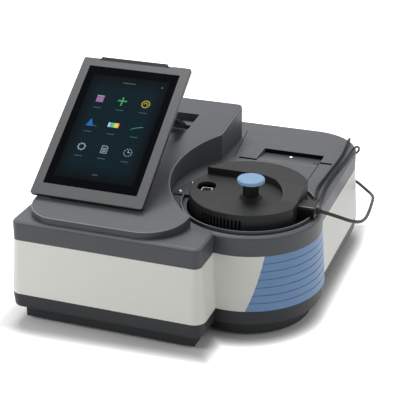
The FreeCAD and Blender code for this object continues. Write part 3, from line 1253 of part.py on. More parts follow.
def build_optics():
    """Optical bench, lamp, filter wheel, monochromator and detectors."""
    bench = box(BENCH_X0, BENCH_X1, BENCH_Y0, BENCH_Y1, BENCH_Z0, BENCH_TOP)
    motor_hole = cyl(GRATING_X, GRATING_Y, BENCH_Z0 - 1, BENCH_TOP + 1, 4.0)
    legs = []
    for x in (BENCH_X0 + 10, BENCH_X1 - 10):
        for y in (BENCH_Y0 + 10, BENCH_Y1 - 10):
            legs.append(cyl(x, y, TRAY_FLOOR_Z, BENCH_Z0, BENCH_POST_R))
    keep("optical_bench", bench.cut(motor_hole).fuse(legs).removeSplitter())

    lamp_y = FILTER_Y + 38
    lamp = rounded_box(OPTIC_X - 18, OPTIC_X + 18, lamp_y - 14, lamp_y + 14, BENCH_TOP, BEAM_Z + 16, 3)
    snout = cyl_y(OPTIC_X, BEAM_Z, lamp_y - 22, lamp_y - 13, 8)
    keep("flash_lamp", lamp.fuse(snout).cut(cyl_y(OPTIC_X, BEAM_Z, lamp_y - 23, lamp_y - 4, 5)))

    wheel_z = BEAM_Z - 13.0
    bracket = box(OPTIC_X - 8, OPTIC_X + 8, FILTER_Y + 4, FILTER_Y + 8, BENCH_TOP, wheel_z + 8)
    bracket = bracket.fuse(cyl_y(OPTIC_X, wheel_z, FILTER_Y - 3, FILTER_Y + 4.5, 2.0))
    keep("filter_bracket", bracket)
    wheel = cyl_y(OPTIC_X, wheel_z, FILTER_Y - 2, FILTER_Y + 2, FILTER_R)
    holes = [cyl_y(OPTIC_X, wheel_z, FILTER_Y - 4, FILTER_Y + 4, 2.0 + RUN_GAP)]
    lenses = []
    for i in range(6):
        turn = math.radians(90 + 60 * i)
        x, z = OPTIC_X + 13.0 * math.cos(turn), wheel_z + 13.0 * math.sin(turn)
        holes.append(cyl_y(x, z, FILTER_Y - 4, FILTER_Y + 4, 4.5))
        lenses.append(cyl_y(x, z, FILTER_Y - 1, FILTER_Y + 1, 4.5))
    keep("filter_wheel", wheel.cut(holes))
    keep("filter_glasses", Part.makeCompound(lenses))

    slits = [
        optic_stand(OPTIC_X, FILTER_Y - 16, 26, 3, 0, 1.5),
        optic_stand(EXIT_X, FILTER_Y - 10, 26, 3, 0, 1.5),
    ]
    keep("slit_plates", Part.makeCompound(slits))
    curved = [
        optic_stand(OPTIC_X, BENCH_Y0 + 12, 30, 6, 12, 0),
        optic_stand(EXIT_X, BENCH_Y0 + 12, 30, 6, -10, 0),
    ]
    keep("curved_mirrors", Part.makeCompound(curved))
    flat = [
        optic_stand(CELL_X, BENCH_Y1 - 28, 24, 4, 45, 0),
        optic_stand(CELL_X, BENCH_Y0 + 36, 22, 2, 45, 0),
    ]
    keep("flat_mirrors", Part.makeCompound(flat))

    table = cyl(GRATING_X, GRATING_Y, BENCH_TOP + 1, BENCH_TOP + 5, TURNTABLE_R)
    shaft = cyl(GRATING_X, GRATING_Y, BENCH_Z0 - 10, BENCH_TOP + 2, 2.5)
    keep("grating_table", table.fuse(shaft))
    grating = box(GRATING_X - 12, GRATING_X + 12, GRATING_Y - 3, GRATING_Y + 3, BENCH_TOP + 5, BEAM_Z + 10)
    grooves = [
        box(GRATING_X - 11 + 2 * i, GRATING_X - 10.2 + 2 * i, GRATING_Y - 3.5, GRATING_Y - 2.7, BENCH_TOP + 8, BEAM_Z + 8)
        for i in range(11)
    ]
    keep("grating", grating.cut(grooves))
    motor = rounded_box(
        GRATING_X - 18, GRATING_X + 18, GRATING_Y - 18, GRATING_Y + 18, BENCH_Z0 - 26, BENCH_Z0, 3
    )
    keep("grating_motor", motor.cut(cyl(GRATING_X, GRATING_Y, BENCH_Z0 - 11, BENCH_Z0 + 1, 2.5 + RUN_GAP)))

    front_y = POD_CENTRE_Y - math.sqrt((WELL_R + LINER_T) ** 2 - (CELL_X - POD_X) ** 2)
    det_y = front_y - 14
    det = box(CELL_X - 12, CELL_X + 12, det_y - 12, det_y, TRAY_FLOOR_Z, BEAM_Z + 12)
    det = det.cut(cyl_y(CELL_X, BEAM_Z, det_y - 8, det_y + 1, 5))
    keep("sample_detector", det)
    ref_x = CELL_X + 34
    ref = box(ref_x, ref_x + 14, BENCH_Y0 + 26, BENCH_Y0 + 46, BENCH_TOP, BEAM_Z + 12)
    keep("reference_detector", ref)


def tube(points, diameter, label):
    """Tube of straight runs joined by tangent arcs.

    Each arc's radius is 0.45 of its shorter run over the tangent of half
    the turn.
    """
    places = [Vector(*p) for p in points]
    edges, radii = [], []
    last = places[0]
    for i in range(1, len(places) - 1):
        back = (places[i - 1] - places[i])
        ahead = (places[i + 1] - places[i])
        run = min(back.Length, ahead.Length)
        back.normalize()
        ahead.normalize()
        turn = math.pi - back.getAngle(ahead)
        reach = 0.45 * run
        radius = reach / math.tan(turn / 2)
        radii.append(radius)
        start, end = places[i] + back * reach, places[i] + ahead * reach
        middle_dir = (back + ahead)
        middle_dir.normalize()
        centre = places[i] + middle_dir * (radius / math.cos(turn / 2))
        middle = centre - middle_dir * radius
        edges.append(Part.LineSegment(last, start).toShape())
        edges.append(Part.Arc(start, middle, end).toShape())
        last = end
    edges.append(Part.LineSegment(last, places[-1]).toShape())
    wire = Part.Wire(edges)
    heading = places[1] - places[0]
    circle = Part.Wire([Part.Circle(places[0], heading, diameter / 2).toShape()])
    solid = wire.makePipeShell([circle], True, True)
    expected = math.pi * diameter**2 / 4 * wire.Length
    print(label, "length", round(wire.Length, 1), "smallest radius", round(min(radii), 1),
          "of diameter", diameter, "volume ratio", round(solid.Volume / expected, 4))
    print(label, "radii", [round(r) for r in radii])
    return solid


def build_cords():
    """Changer cable with its angled plug, and the two water tubes."""
    keep("changer_cable", tube(CABLE_ROUTE, CABLE_D, "cable"))
    keep("water_tube_a", tube(TUBE_A_ROUTE, TUBE_D, "tube a"))
    keep("water_tube_b", tube(TUBE_B_ROUTE, TUBE_D, "tube b"))
    end_x, end_y, end_z = CABLE_ROUTE[-1]
    y1 = REAR_PANEL_Y + REAR_PANEL_T + 1.0
    nose = cyl_y(SOCKET_X, SOCKET_Z, y1, end_y, SOCKET_R - 1)
    body = box(SOCKET_X - 7, SOCKET_X + 7, end_y - 6, end_y + 6, end_z - 7, end_z + 7)
    sleeve = Part.makeCone(
        5.5, CABLE_D / 2 + 0.6, end_x - SOCKET_X - 7, Vector(SOCKET_X + 7, end_y, end_z), Vector(1, 0, 0)
    )
    keep("cable_plug", nose.fuse([body, sleeve]))


def main():
    """Build every node and write one STEP file for each."""
    build_case()
    build_cover()
    build_console()
    build_screen()
    build_changer()
    build_connector()
    build_rear()
    build_electronics()
    build_optics()
    build_cords()
    os.makedirs("parts", exist_ok=True)
    for name, shape in NODES.items():
        if not shape.isValid():
            print("INVALID", name)
        shape.exportStep("parts/" + name + ".step")
    print(len(NODES), "nodes")


main()
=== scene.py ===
"""Looks of a bench spectrophotometer with a tilting touch screen and a cell changer.

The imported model's frame has +X to the operator's right, +Y to the rear, +Z up and
its origin on the table. The studio, the display's layout and the finishes are in
metres; the cords' routes, the deck's details, the screws and the marks of the
icons are in millimetres.
"""
import logging
import math
from collections.abc import Mapping, Sequence
from dataclasses import dataclass, field
from enum import Enum
from functools import cache, partialmethod
from itertools import pairwise

import bpy
import numpy as np
from mathutils import Matrix, Vector


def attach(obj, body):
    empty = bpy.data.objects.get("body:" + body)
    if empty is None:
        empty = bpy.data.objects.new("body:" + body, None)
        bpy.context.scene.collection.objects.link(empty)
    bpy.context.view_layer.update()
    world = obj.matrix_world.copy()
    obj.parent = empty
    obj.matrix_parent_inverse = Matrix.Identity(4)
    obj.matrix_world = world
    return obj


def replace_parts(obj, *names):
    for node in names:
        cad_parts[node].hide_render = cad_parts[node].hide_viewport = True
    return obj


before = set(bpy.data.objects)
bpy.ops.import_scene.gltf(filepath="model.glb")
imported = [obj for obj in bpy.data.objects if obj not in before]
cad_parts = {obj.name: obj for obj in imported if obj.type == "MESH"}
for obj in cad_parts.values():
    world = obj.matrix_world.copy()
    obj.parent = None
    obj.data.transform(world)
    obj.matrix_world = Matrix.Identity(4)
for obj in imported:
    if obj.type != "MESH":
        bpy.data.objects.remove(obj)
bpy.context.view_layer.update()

LOG = logging.getLogger("spectrophotometer")
MM = 0.001
MICRON = 0.000001
# Waves in a metre and octaves of the soft clouds in a moulded colour.
CLOUD_SCALE = 38.0
CLOUD_DETAIL = 4.0
# Depth in metres of the thinnest sheets.
FILM = 0.00006
# X and Y of the changer's middle in millimetres.
POD = (76.0, -63.0)

Point = tuple[float, float, float]
Colour = tuple[float, float, float]
Strip = tuple[np.ndarray, np.ndarray]
Settings = Mapping[str, object] | None
Sockets = Mapping[str | int, object] | None


def linear(red: int, green: int, blue: int) -> Colour:
    """Turn a screen colour into the linear colour that a shader takes.

    Formula: ((c + 0.055) / 1.055) to the power 2.4 on each channel.

    Args:
        red, green, blue: Channels from 0 to 255.

    Returns:
        The three linear channels.
    """
    channels = np.array([red, green, blue], float) / 255.0
    curve = np.where(channels <= 0.04045, channels / 12.92, ((channels + 0.055) / 1.055) ** 2.4)
    return tuple(float(c) for c in curve)


class Body(Enum):
    """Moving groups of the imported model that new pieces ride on."""

    CASE = "case"
    SCREEN = "screen"
    TURRET = "turret"


@dataclass(frozen=True)
class Value:
    """An output socket in a material, which Python's arithmetic works on."""

    graph: "Graph"
    socket: bpy.types.NodeSocket

    def maths(self, operation: str, *others: "Value | float") -> "Value":
        """Add a Math node on this value and others."""
        return self.graph.node("ShaderNodeMath", {"operation": operation}, dict(enumerate((self, *others))))

    __add__ = __radd__ = partialmethod(maths, "ADD")
    __sub__ = partialmethod(maths, "SUBTRACT")
    __mul__ = __rmul__ = partialmethod(maths, "MULTIPLY")
    __gt__ = partialmethod(maths, "GREATER_THAN")
    wave = partialmethod(maths, "SINE")
    size = partialmethod(maths, "ABSOLUTE")

    def __rsub__(self, other: float) -> "Value":
        """A number less this value."""
        return (self * -1.0) + other

    def clamp(self) -> "Value":
        """This value kept from 0 to 1."""
        return self.graph.node("ShaderNodeClamp", {}, {"Value": self, "Min": 0.0, "Max": 1.0})


class Graph:
    """One node material, built from values and one method for any node."""

    def __init__(self, owner: "str | bpy.types.World") -> None:
        """Start with no nodes.

        Args:
            owner: Name of a new material, or the world to fill.
        """
        self.material = bpy.data.materials.new(owner) if isinstance(owner, str) else owner
        self.material.use_nodes = True
        self.tree = self.material.node_tree
        self.tree.nodes.clear()

    def raw(self, kind: str, settings: Settings = None, inputs: Sockets = None) -> bpy.types.Node:
        """Add a node, set its settings, then its sockets.

        Args:
            kind: The node's type.
            settings: Attributes, and "stops" for a colour ramp.
            inputs: Socket name or number to a value, colour or link.

        Returns:
            The node.
        """
        node = self.tree.nodes.new(kind)
        for key, value in (settings or {}).items():
            if key == "stops":
                self._fill_ramp(node.color_ramp, value)
            else:
                setattr(node, key, value)
        for key, value in (inputs or {}).items():
            socket = node.inputs[key]
            if isinstance(value, Value):
                self.tree.links.new(value.socket, socket)
            elif isinstance(value, tuple) and socket.type == "RGBA":
                socket.default_value = (*value, 1.0)
            else:
                socket.default_value = value
        return node

    @staticmethod
    def _fill_ramp(ramp: bpy.types.ColorRamp, stops: Sequence[tuple[float, Colour]]) -> None:
        """Put the stops into a colour ramp.

        Args:
            ramp: The node's ramp.
            stops: Place from 0 to 1 and colour of each.
        """
        while len(ramp.elements) < len(stops):
            ramp.elements.new(1.0)
        for element, (place, colour) in zip(ramp.elements, stops):
            element.position = place
            element.color = (*colour, 1.0)

    def node(
        self, kind: str, settings: Settings = None, inputs: Sockets = None, output: str | int = 0
    ) -> Value:
        """Add a node as raw does and give one of its outputs."""
        return Value(self, self.raw(kind, settings, inputs).outputs[output])

    def place(self) -> Value:
        """Object coordinates, which are the frame's own metres."""
        return self.node("ShaderNodeTexCoord", output="Object")

    def noise(self, scale: float, detail: float = 3.0, stretch: Point = (1.0, 1.0, 1.0)) -> Value:
        """Smooth random value from 0 to 1.

        Args:
            scale: Waves in a metre.
            detail: Octaves of finer noise.
            stretch: Factor on each axis, below 1 for streaks along it.

        Returns:
            The noise.
        """
        spot = self.node("ShaderNodeMapping", {}, {"Vector": self.place(), "Scale": stretch})
        return self.node("ShaderNodeTexNoise", {}, {"Vector": spot, "Scale": scale, "Detail": detail})

    def split(self, vector: Value) -> tuple[Value, ...]:
        """The three numbers of a vector one by one."""
        return tuple(Value(self, out) for out in self.raw("ShaderNodeSeparateXYZ", {}, {0: vector}).outputs)

    def axes(self) -> tuple[Value, ...]:
        """The three object coordinates one by one."""
        return self.split(self.place())

    def facing_up(self) -> Value:
        """Z of the surface's own normal: 1 on a level top, 0 on an upright wall."""
        return self.split(self.node("ShaderNodeTexCoord", output="Normal"))[2]

    def painted_highlight_ridge(self) -> Value:
        """Mask of the painted highlight: 1 on rounded edges that look half up, by 1 - 5 |z - 0.7|."""
        return (1.0 - (self.facing_up() - 0.7).size() * 5.0).clamp()

    def blend(self, factor: "Value | float", first: object, second: object, way: str = "MIX") -> Value:
        """Mix two colours.

        Args:
            factor: 0 for the first colour, 1 for the second.
            first, second: Colours or links.
            way: How they mix.

        Returns:
            The mixed colour.
        """
        settings = {"data_type": "RGBA", "blend_type": way}
        return self.node("ShaderNodeMix", settings, {0: factor, 6: first, 7: second}, 2)

    def clouds(self, colour: Colour, low: float, high: float = 1.0) -> Value:
        """A colour that wanders softly between two factors of itself."""
        dark, light = (tuple(min(1.0, c * factor) for c in colour) for factor in (low, high))
        return self.blend(self.noise(CLOUD_SCALE, CLOUD_DETAIL), dark, light)

    def bump(self, height: Value, distance: float) -> Value:
        """Turn a height from 0 to 1 into a bumped normal."""
        return self.node("ShaderNodeBump", {}, {"Height": height, "Distance": distance, "Strength": 1.0})

    def surface(self, inputs: Mapping[str, object]) -> bpy.types.Material:
        """Finish the material with one Principled shader.

        Args:
            inputs: The shader's sockets.

        Returns:
            The material.
        """
        shader = self.node("ShaderNodeBsdfPrincipled", {}, inputs)
        self.raw("ShaderNodeOutputMaterial", {}, {"Surface": shader})
        return self.material


@dataclass(frozen=True)
class Dressing:
    """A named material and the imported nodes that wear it.

    Each kind says what goes into its shader's sockets.
    """

    name: str
    nodes: str = field(default="", kw_only=True)

    def sockets(self, graph: Graph) -> dict[str, object]:
        """Give what goes into the shader; every kind has its own.

        Args:
            graph: The material that is being built.

        Returns:
            Socket name to value, colour or link.
        """
        raise NotImplementedError

    def make(self) -> bpy.types.Material:
        """Build the material."""
        graph = Graph(self.name)
        return graph.surface(self.sockets(graph))


@dataclass(frozen=True)
class Finish(Dressing):
    """A moulded, cast or painted surface with grain and slight mottling.

    Args:
        colour: Main colour.
        roughness: Middle roughness.
        spread: How far the roughness wanders.
        mottle: Share by which the colour wanders.
        grain: Bumps in a metre.
        relief: Height of the bumps in microns.
        metallic: 1 for bare metal.
        level: Specular level.
    """

    colour: Colour
    roughness: float = 0.5
    spread: float = 0.06
    mottle: float = 0.06
    grain: float = 900
    relief: float = 40
    metallic: float = 0.0
    level: float = 0.5

    def shade(self, graph: Graph) -> Value:
        """Give the base colour, here lighter and darker in soft clouds.

        Args:
            graph: The material that is being built.

        Returns:
            The colour.
        """
        return graph.clouds(self.colour, 1 - self.mottle, 1 + self.mottle)

    def relief_height(self, graph: Graph) -> Value:
        """Give the height of the fine moulded grain."""
        return graph.noise(self.grain, 2.0)

    def sockets(self, graph: Graph) -> dict[str, object]:
        """Join the shade, a wandering gloss and the grain."""
        return {
            "Base Color": self.shade(graph),
            "Roughness": graph.noise(55.0) * (2 * self.spread) + (self.roughness - self.spread),
            "Metallic": self.metallic,
            "Specular IOR Level": self.level,
            "Normal": graph.bump(self.relief_height(graph), self.relief * MICRON),
        }


@dataclass(frozen=True)
class TwoToneWithPaintedLight(Finish):
    """Moulding whose sides are darker than its top above change_z, partly its own two-tone colour and
    partly painted light on the top, with a painted highlight on its rounded edges.
    """

    top_colour: Colour = (0.2, 0.2, 0.2)
    change_z: float = 0.126
    sheen: Colour = (0.15, 0.15, 0.16)

    def shade(self, graph: Graph) -> Value:
        """Blend from the side's colour to the top's over a few millimetres, then add the painted highlight
        on rounded edges.
        """
        height = graph.axes()[2]
        # Lighter top: partly the deck's own two-tone colour, partly painted light falling on the top.
        share = ((height + (0.0016 - self.change_z)) * 400.0).clamp()
        # Painted highlight on the rounded edges.
        base = graph.blend(graph.painted_highlight_ridge(), graph.blend(share, self.colour, self.top_colour), self.sheen)
        cloud = graph.noise(CLOUD_SCALE, CLOUD_DETAIL) * (2 * self.mottle) + (1 - self.mottle)
        grey = graph.node("ShaderNodeCombineColor", {}, {0: cloud, 1: cloud, 2: cloud})
        return graph.blend(1.0, base, grey, "MULTIPLY")


@dataclass(frozen=True)
class PaintedFacingShade(Finish):
    """Moulding with painted shade on its walls, which are darker than its tops, and a painted highlight on
    its rounded edges.
    """

    top_colour: Colour = (0.2, 0.2, 0.2)
    sheen: Colour = (0.3, 0.3, 0.3)

    def shade(self, graph: Graph) -> Value:
        """Blend by the normal's Z, from 0.35 to 0.85, for the painted shade on the walls, then add the
        painted highlight.
        """
        # Painted shade: walls darker than tops.
        share = ((graph.facing_up() - 0.35) * 2.0).clamp()
        top = graph.clouds(self.top_colour, 1 - self.mottle)
        # Painted highlight on the rounded edges.
        return graph.blend(graph.painted_highlight_ridge(), graph.blend(share, self.colour, top), self.sheen)


@dataclass(frozen=True)
class ScreenEdge(Finish):
    """Frame that is lighter on its face than on its sides, where the darker sides are painted shade.

    Args:
        tilt: Lean of the screen in radians.
        edge: Y and Z of the face's lower edge in metres.
        depth: Depth behind the face at which the side's colour starts.
    """

    face_colour: Colour = (0.2, 0.2, 0.2)
    tilt: float = math.radians(35.1)
    edge: tuple[float, float] = (-0.1516, 0.1458)
    depth: float = 0.0009

    def shade(self, graph: Graph) -> Value:
        """Blend by depth n = (z - z0) cos tilt - (y - y0) sin tilt behind the face."""
        _, across, height = graph.axes()
        lift = (height - self.edge[1]) * math.cos(self.tilt) - (across - self.edge[0]) * math.sin(self.tilt)
        # Painted shade: sides behind the face take the darker colour.
        share = ((lift + self.depth) * 2500.0).clamp()
        return graph.blend(share, self.colour, graph.clouds(self.face_colour, 1 - self.mottle))


@dataclass(frozen=True)
class Brushed(Finish):
    """Metal with fine streaks along the axis on which stretch is below 1."""

    metallic: float = 1.0
    stretch: Point = (0.05, 1.0, 1.0)

    def relief_height(self, graph: Graph) -> Value:
        """Give streaks instead of a round grain."""
        return graph.noise(self.grain, 3.0, self.stretch)


@dataclass(frozen=True)
class Clear(Dressing):
    """Glass or liquid that light passes through, with faint smears in its gloss."""

    colour: Colour
    roughness: float
    ior: float
    transmission: float

    def sockets(self, graph: Graph) -> dict[str, object]:
        """Dim and roughen the tint along the smears."""
        smear = graph.noise(60.0, 2.0, (1.0, 0.4, 1.0))
        return {
            "Base Color": graph.blend(smear, tuple(c * 0.96 for c in self.colour), self.colour),
            "Roughness": smear * 0.06 + self.roughness,
            "IOR": self.ior,
            "Transmission Weight": self.transmission,
        }


@dataclass(frozen=True)
class Glow(Dressing):
    """Lit mark on the display, a little brighter in places.

    Args:
        dim: Factor of the colour at its dimmer places.
        wander: Waves of the dimming in a metre.
        roughness: Least roughness of the glass above it.
    """

    colour: Colour = (1.0, 1.0, 1.0)
    dim: float = 0.8
    wander: float = 90.0
    roughness: float = 0.16
    level: float = 0.02

    def lit(self, graph: Graph) -> Value:
        """Give the colour of the light.

        Args:
            graph: The material that is being built.

        Returns:
            The colour.
        """
        dimmed = tuple(c * self.dim for c in self.colour)
        return graph.blend(graph.noise(self.wander, 1.0), dimmed, self.colour)

    def sockets(self, graph: Graph) -> dict[str, object]:
        """Light the dark glass."""
        return {
            "Base Color": (0.004, 0.005, 0.006),
            "Roughness": graph.noise(30.0) * 0.05 + self.roughness,
            "Specular IOR Level": self.level,
            "Emission Color": self.lit(graph),
            "Emission Strength": 1.0,
        }


@dataclass(frozen=True)
class PanelGlow(Glow):
    """Lit ground of the display, which fades towards its edges.

    Args:
        centre: X and Z of the picture's middle in metres.
        half: Half width and half height in metres, the height along Z.
        fade: Width of the fade as a share of the half size.
    """

    edge_colour: Colour = (0.0, 0.0, 0.0)
    centre: tuple[float, float] = (0.0, 0.0)
    half: tuple[float, float] = (1.0, 1.0)
    fade: float = 0.3

    def lit(self, graph: Graph) -> Value:
        """Fade by (1 - |d / half|) over its share, on both axes."""
        x, _, z = graph.axes()
        inside = []
        for value, middle, half in zip((x, z), self.centre, self.half):
            away = ((value - middle) * (1.0 / half)).size()
            inside.append(((1.0 - away) * (1.0 / self.fade)).clamp())
        return graph.blend(inside[0] * inside[1], self.edge_colour, super().lit(graph))


@dataclass(frozen=True)
class SpectrumGlow(Glow):
    """Lit bar that runs from white at x0 through blue and green to red at x1."""

    x0: float = 0.0
    x1: float = 1.0

    def lit(self, graph: Graph) -> Value:
        """Give a ramp along X with five even stops."""
        share = ((graph.axes()[0] - self.x0) * (1.0 / (self.x1 - self.x0))).clamp()
        shades = ((214, 224, 222), (54, 140, 190), (70, 200, 90), (240, 210, 60), (230, 80, 60))
        stops = [(i * 0.25, linear(*shade)) for i, shade in enumerate(shades)]
        return graph.node("ShaderNodeValToRGB", {"stops": stops}, {0: share})


@dataclass(frozen=True)
class BoardFinish(Dressing):
    """Circuit board with solder resist, tracks and pads."""

    def sockets(self, graph: Graph) -> dict[str, object]:
        """Lay tracks and pads where a sine along one axis is high."""
        across, along, _ = graph.axes()
        wander = graph.noise(25.0, 1.0) * 0.004
        tracks = ((across + wander) * 1500.0).wave() > 0.55
        pads = ((along - wander) * 900.0).wave() > 0.8
        resist = graph.blend(graph.noise(40.0), linear(20, 74, 44), linear(30, 92, 54))
        copper = graph.blend(tracks * 0.5, resist, linear(60, 130, 76))
        return {
            "Base Color": graph.blend(pads * tracks, copper, linear(196, 190, 168)),
            "Roughness": 0.5 - pads * tracks * 0.2,
            "Normal": graph.bump(tracks, 0.00005),
        }


FINISHES: dict[str, Dressing] = {
    # Deck: lighter top partly two-tone moulding and partly painted light; painted highlight on its rounded
    # edges.
    "deck": TwoToneWithPaintedLight(
        "textured_deck", linear(71, 74, 78), roughness=0.45, grain=1100, relief=30, level=0.3,
        top_colour=linear(90, 92, 96), change_z=0.1265, sheen=linear(112, 114, 118), nodes="top_cover",
    ),
    # Console: painted shade on its walls and a painted highlight on its rounded edges.
    "hump": PaintedFacingShade(
        "console_plastic", linear(62, 66, 67), roughness=0.46, grain=1100, relief=30, level=0.3,
        top_colour=linear(85, 87, 91), sheen=linear(165, 167, 170), nodes="console_housing",
    ),
    "plinth": Finish("plinth_plastic", linear(37, 40, 42), roughness=0.52, level=0.25, nodes="base_tray"),
    "shell": Finish(
        "white_shell", linear(222, 222, 216), roughness=0.45, level=0.35, mottle=0.015, grain=1400,
        relief=20, nodes="side_shell",
    ),
    "accent": Finish(
        "blue_panel", linear(98, 134, 176), roughness=0.42, mottle=0.04, grain=1200, relief=20,
        nodes="accent_panel",
    ),
    # Bezel: its darker sides are painted shade.
    "bezel": ScreenEdge(
        "bezel_plastic", linear(30, 31, 33), roughness=0.38, mottle=0.03, relief=20, level=0.4,
        face_colour=linear(91, 92, 93), nodes="screen_bezel",
    ),
    "screen_back": Finish(
        "screen_back_plastic", linear(36, 38, 40), level=0.2, nodes="prop_leg screen_back_cover"
    ),
    "changer": Finish(
        "changer_black", linear(29, 30, 31), level=0.22, grain=1300, nodes="changer_cover changer_housing"
    ),
    # Liner: slight painted shade on its walls and a painted highlight on its rounded edges.
    "liner": PaintedFacingShade(
        "liner_grey", linear(56, 59, 62), roughness=0.36, level=0.4, relief=20,
        top_colour=linear(62, 65, 68), sheen=linear(142, 146, 150), nodes="changer_bracket well_liner",
    ),
    "knob": Finish(
        "knob_blue", linear(126, 162, 200), roughness=0.42, mottle=0.03, relief=10, nodes="knob_cap"
    ),
    "black": Finish(
        "black_plastic", linear(30, 30, 32), roughness=0.42, level=0.25,
        nodes=(
            "cable_gland cable_plug connector_block fan_frame fan_rotor hinge_ears hose_fittings "
            "power_inlet power_rocker reference_detector sample_detector switch_frame"
        ),
    ),
    "cable": Finish(
        "cable_sheath", linear(44, 46, 45), roughness=0.46, level=0.25, grain=700, relief=50,
        nodes="changer_cable",
    ),
    "tube": Finish(
        "tube_rubber", linear(20, 20, 22), roughness=0.45, level=0.1, grain=800,
        nodes="water_tube_a water_tube_b",
    ),
    "coated": Finish(
        "coated_sheet", linear(146, 149, 152), roughness=0.55, level=0.3, grain=1200, relief=20,
        nodes="rear_panel",
    ),
    "jet": Finish("jet_plastic", linear(16, 17, 18), level=0.15, nodes="knob_stem"),
    "rubber": Finish(
        "foot_rubber", linear(30, 30, 31), roughness=0.78, grain=600, relief=80, nodes="rubber_feet"
    ),
    "steel": Brushed(
        "bright_steel", linear(192, 192, 190), roughness=0.24, grain=500, relief=10,
        nodes="bright_screws carousel_spindle hinge_pin motor_shaft prop_pin slit_plates usb_sockets",
    ),
    "zinc": Brushed(
        "zinc_plate", linear(176, 180, 184), roughness=0.36, grain=240, relief=20,
        nodes="cable_socket carousel_motor flash_lamp grating_motor power_supply",
    ),
    "aluminium": Brushed(
        "milled_aluminium", linear(190, 192, 195), roughness=0.34, grain=420, relief=20,
        nodes="filter_bracket filter_wheel grating_table optical_bench",
    ),
    "brass": Brushed(
        "turned_brass", linear(206, 172, 96), roughness=0.28, grain=400, relief=10,
        nodes="motor_pinion",
    ),
    "acetal": Finish(
        "white_acetal", linear(228, 226, 218), roughness=0.4, mottle=0.02, nodes="carousel drive_gear"
    ),
    "mirror": Brushed(
        "coated_mirror", linear(232, 234, 236), roughness=0.06, spread=0.02, relief=2,
        nodes="curved_mirrors flat_mirrors grating",
    ),
    "glass": Finish(
        "display_glass", linear(8, 10, 14), roughness=0.16, spread=0.03, mottle=0.03, relief=2,
        level=0.02, nodes="touch_glass",
    ),
    "lcd": Finish("display_panel", linear(40, 42, 48), roughness=0.3, nodes="lcd_panel"),
    "cell": Clear("cell_glass", linear(226, 236, 240), 0.03, 1.46, 0.85, nodes="cuvettes"),
    "liquid": Clear("sample_liquid", linear(176, 206, 214), 0.02, 1.33, 0.8, nodes="liquid_samples"),
    "filter": Clear("filter_glass", linear(190, 150, 120), 0.04, 1.5, 0.6, nodes="filter_glasses"),
    "board": BoardFinish("circuit_board", nodes="main_board screen_board"),
    # Near black for the deck's seams, which are dark joints, and for sheets of painted shade in hollows and
    # on the connector block's face.
    "seam": Finish("seam_shadow", linear(16, 16, 18), roughness=0.8, relief=10, level=0.1),
    # Painted highlight on the well's lip.
    "rim": Finish("rim_sheen", linear(128, 133, 136), roughness=0.4, relief=10),
    "frosted": Finish("frosted_edge", linear(214, 210, 192), roughness=0.55, relief=10),
    "ui_ground": PanelGlow(
        "display_ground", linear(8, 30, 38), dim=0.88, wander=30.0, roughness=0.2,
        edge_colour=linear(5, 8, 11), centre=(-0.0876, 0.2026), half=(0.0485, 0.0417),
    ),
    "ui_rose": Glow("display_rose", linear(164, 112, 172)),
    "ui_green": Glow("display_green", linear(72, 164, 98)),
    "ui_yellow": Glow("display_yellow", linear(190, 170, 62)),
    "ui_blue": Glow("display_blue", linear(46, 106, 186)),
    "ui_white": Glow("display_white", linear(150, 164, 170)),
    "ui_pale": Glow("display_pale", linear(74, 88, 96)),
    "ui_spectrum": SpectrumGlow("display_spectrum", level=0.5, x0=-0.0943, x1=-0.0809),
}

NODE_FINISH = {node: key for key, finish in FINISHES.items() for node in finish.nodes.split()}


@cache
def material(key: str) -> bpy.types.Material:
    """Give the material of a finish, made on first use."""
    return FINISHES[key].make()


def dress_nodes(nodes: Mapping[str, bpy.types.Object]) -> None:
    """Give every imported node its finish.

    Args:
        nodes: Node name to object.
    """
    for name, obj in nodes.items():
        dress = material(NODE_FINISH[name])
        if obj.material_slots:
            for slot in obj.material_slots:
                slot.material = dress
        else:
            obj.data.materials.append(dress)
    LOG.info("dressed %d packed nodes", len(nodes))


def new_mesh(name: str, points: np.ndarray, faces: Sequence | np.ndarray) -> bpy.types.Object:
    """Put arrays of points and faces into a mesh object.

    Args:
        name: The piece's name.
        points: Rows of x, y, z.
        faces: Rows of point numbers.

    Returns:
        The object, linked to the scene at the origin.
    """
    mesh = bpy.data.meshes.new(name)
    mesh.from_pydata(np.asarray(points, float).tolist(), [], np.asarray(faces, int).tolist())
    mesh.validate()
    obj = bpy.data.objects.new(name, mesh)
    bpy.context.scene.collection.objects.link(obj)
    return obj


def grid_faces(rows: int, columns: int, closed: bool = False) -> np.ndarray:
    """Number the four-sided faces of a grid of points.

    Args:
        rows, columns: Points along the first and second parameter.
        closed: True where the second parameter runs round.

    Returns:
        One row of four numbers for each face.
    """
    row = np.arange(rows - 1)[:, None]
    column = np.arange(columns if closed else columns - 1)[None, :]
    here, after = row * columns + column, row * columns + (column + 1) % columns
    return np.stack([here, after, after + columns, here + columns], axis=-1).reshape(-1, 4)


def finish_piece(
    obj: bpy.types.Object, body: Body, finish: str, smooth: bool = True
) -> bpy.types.Object:
    """Dress a new piece and tie it to its moving group.

    Args:
        obj: The piece.
        body: The group that it moves with.
        finish: Key of its finish.
        smooth: True for smooth shading.

    Returns:
        The same piece.
    """
    obj.data.materials.clear()
    obj.data.materials.append(material(finish))
    if obj.type == "MESH" and smooth:
        obj.data.polygons.foreach_set("use_smooth", [True] * len(obj.data.polygons))
    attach(obj, body.value)
    LOG.info("%s rides on %s", obj.name, body.value)
    return obj


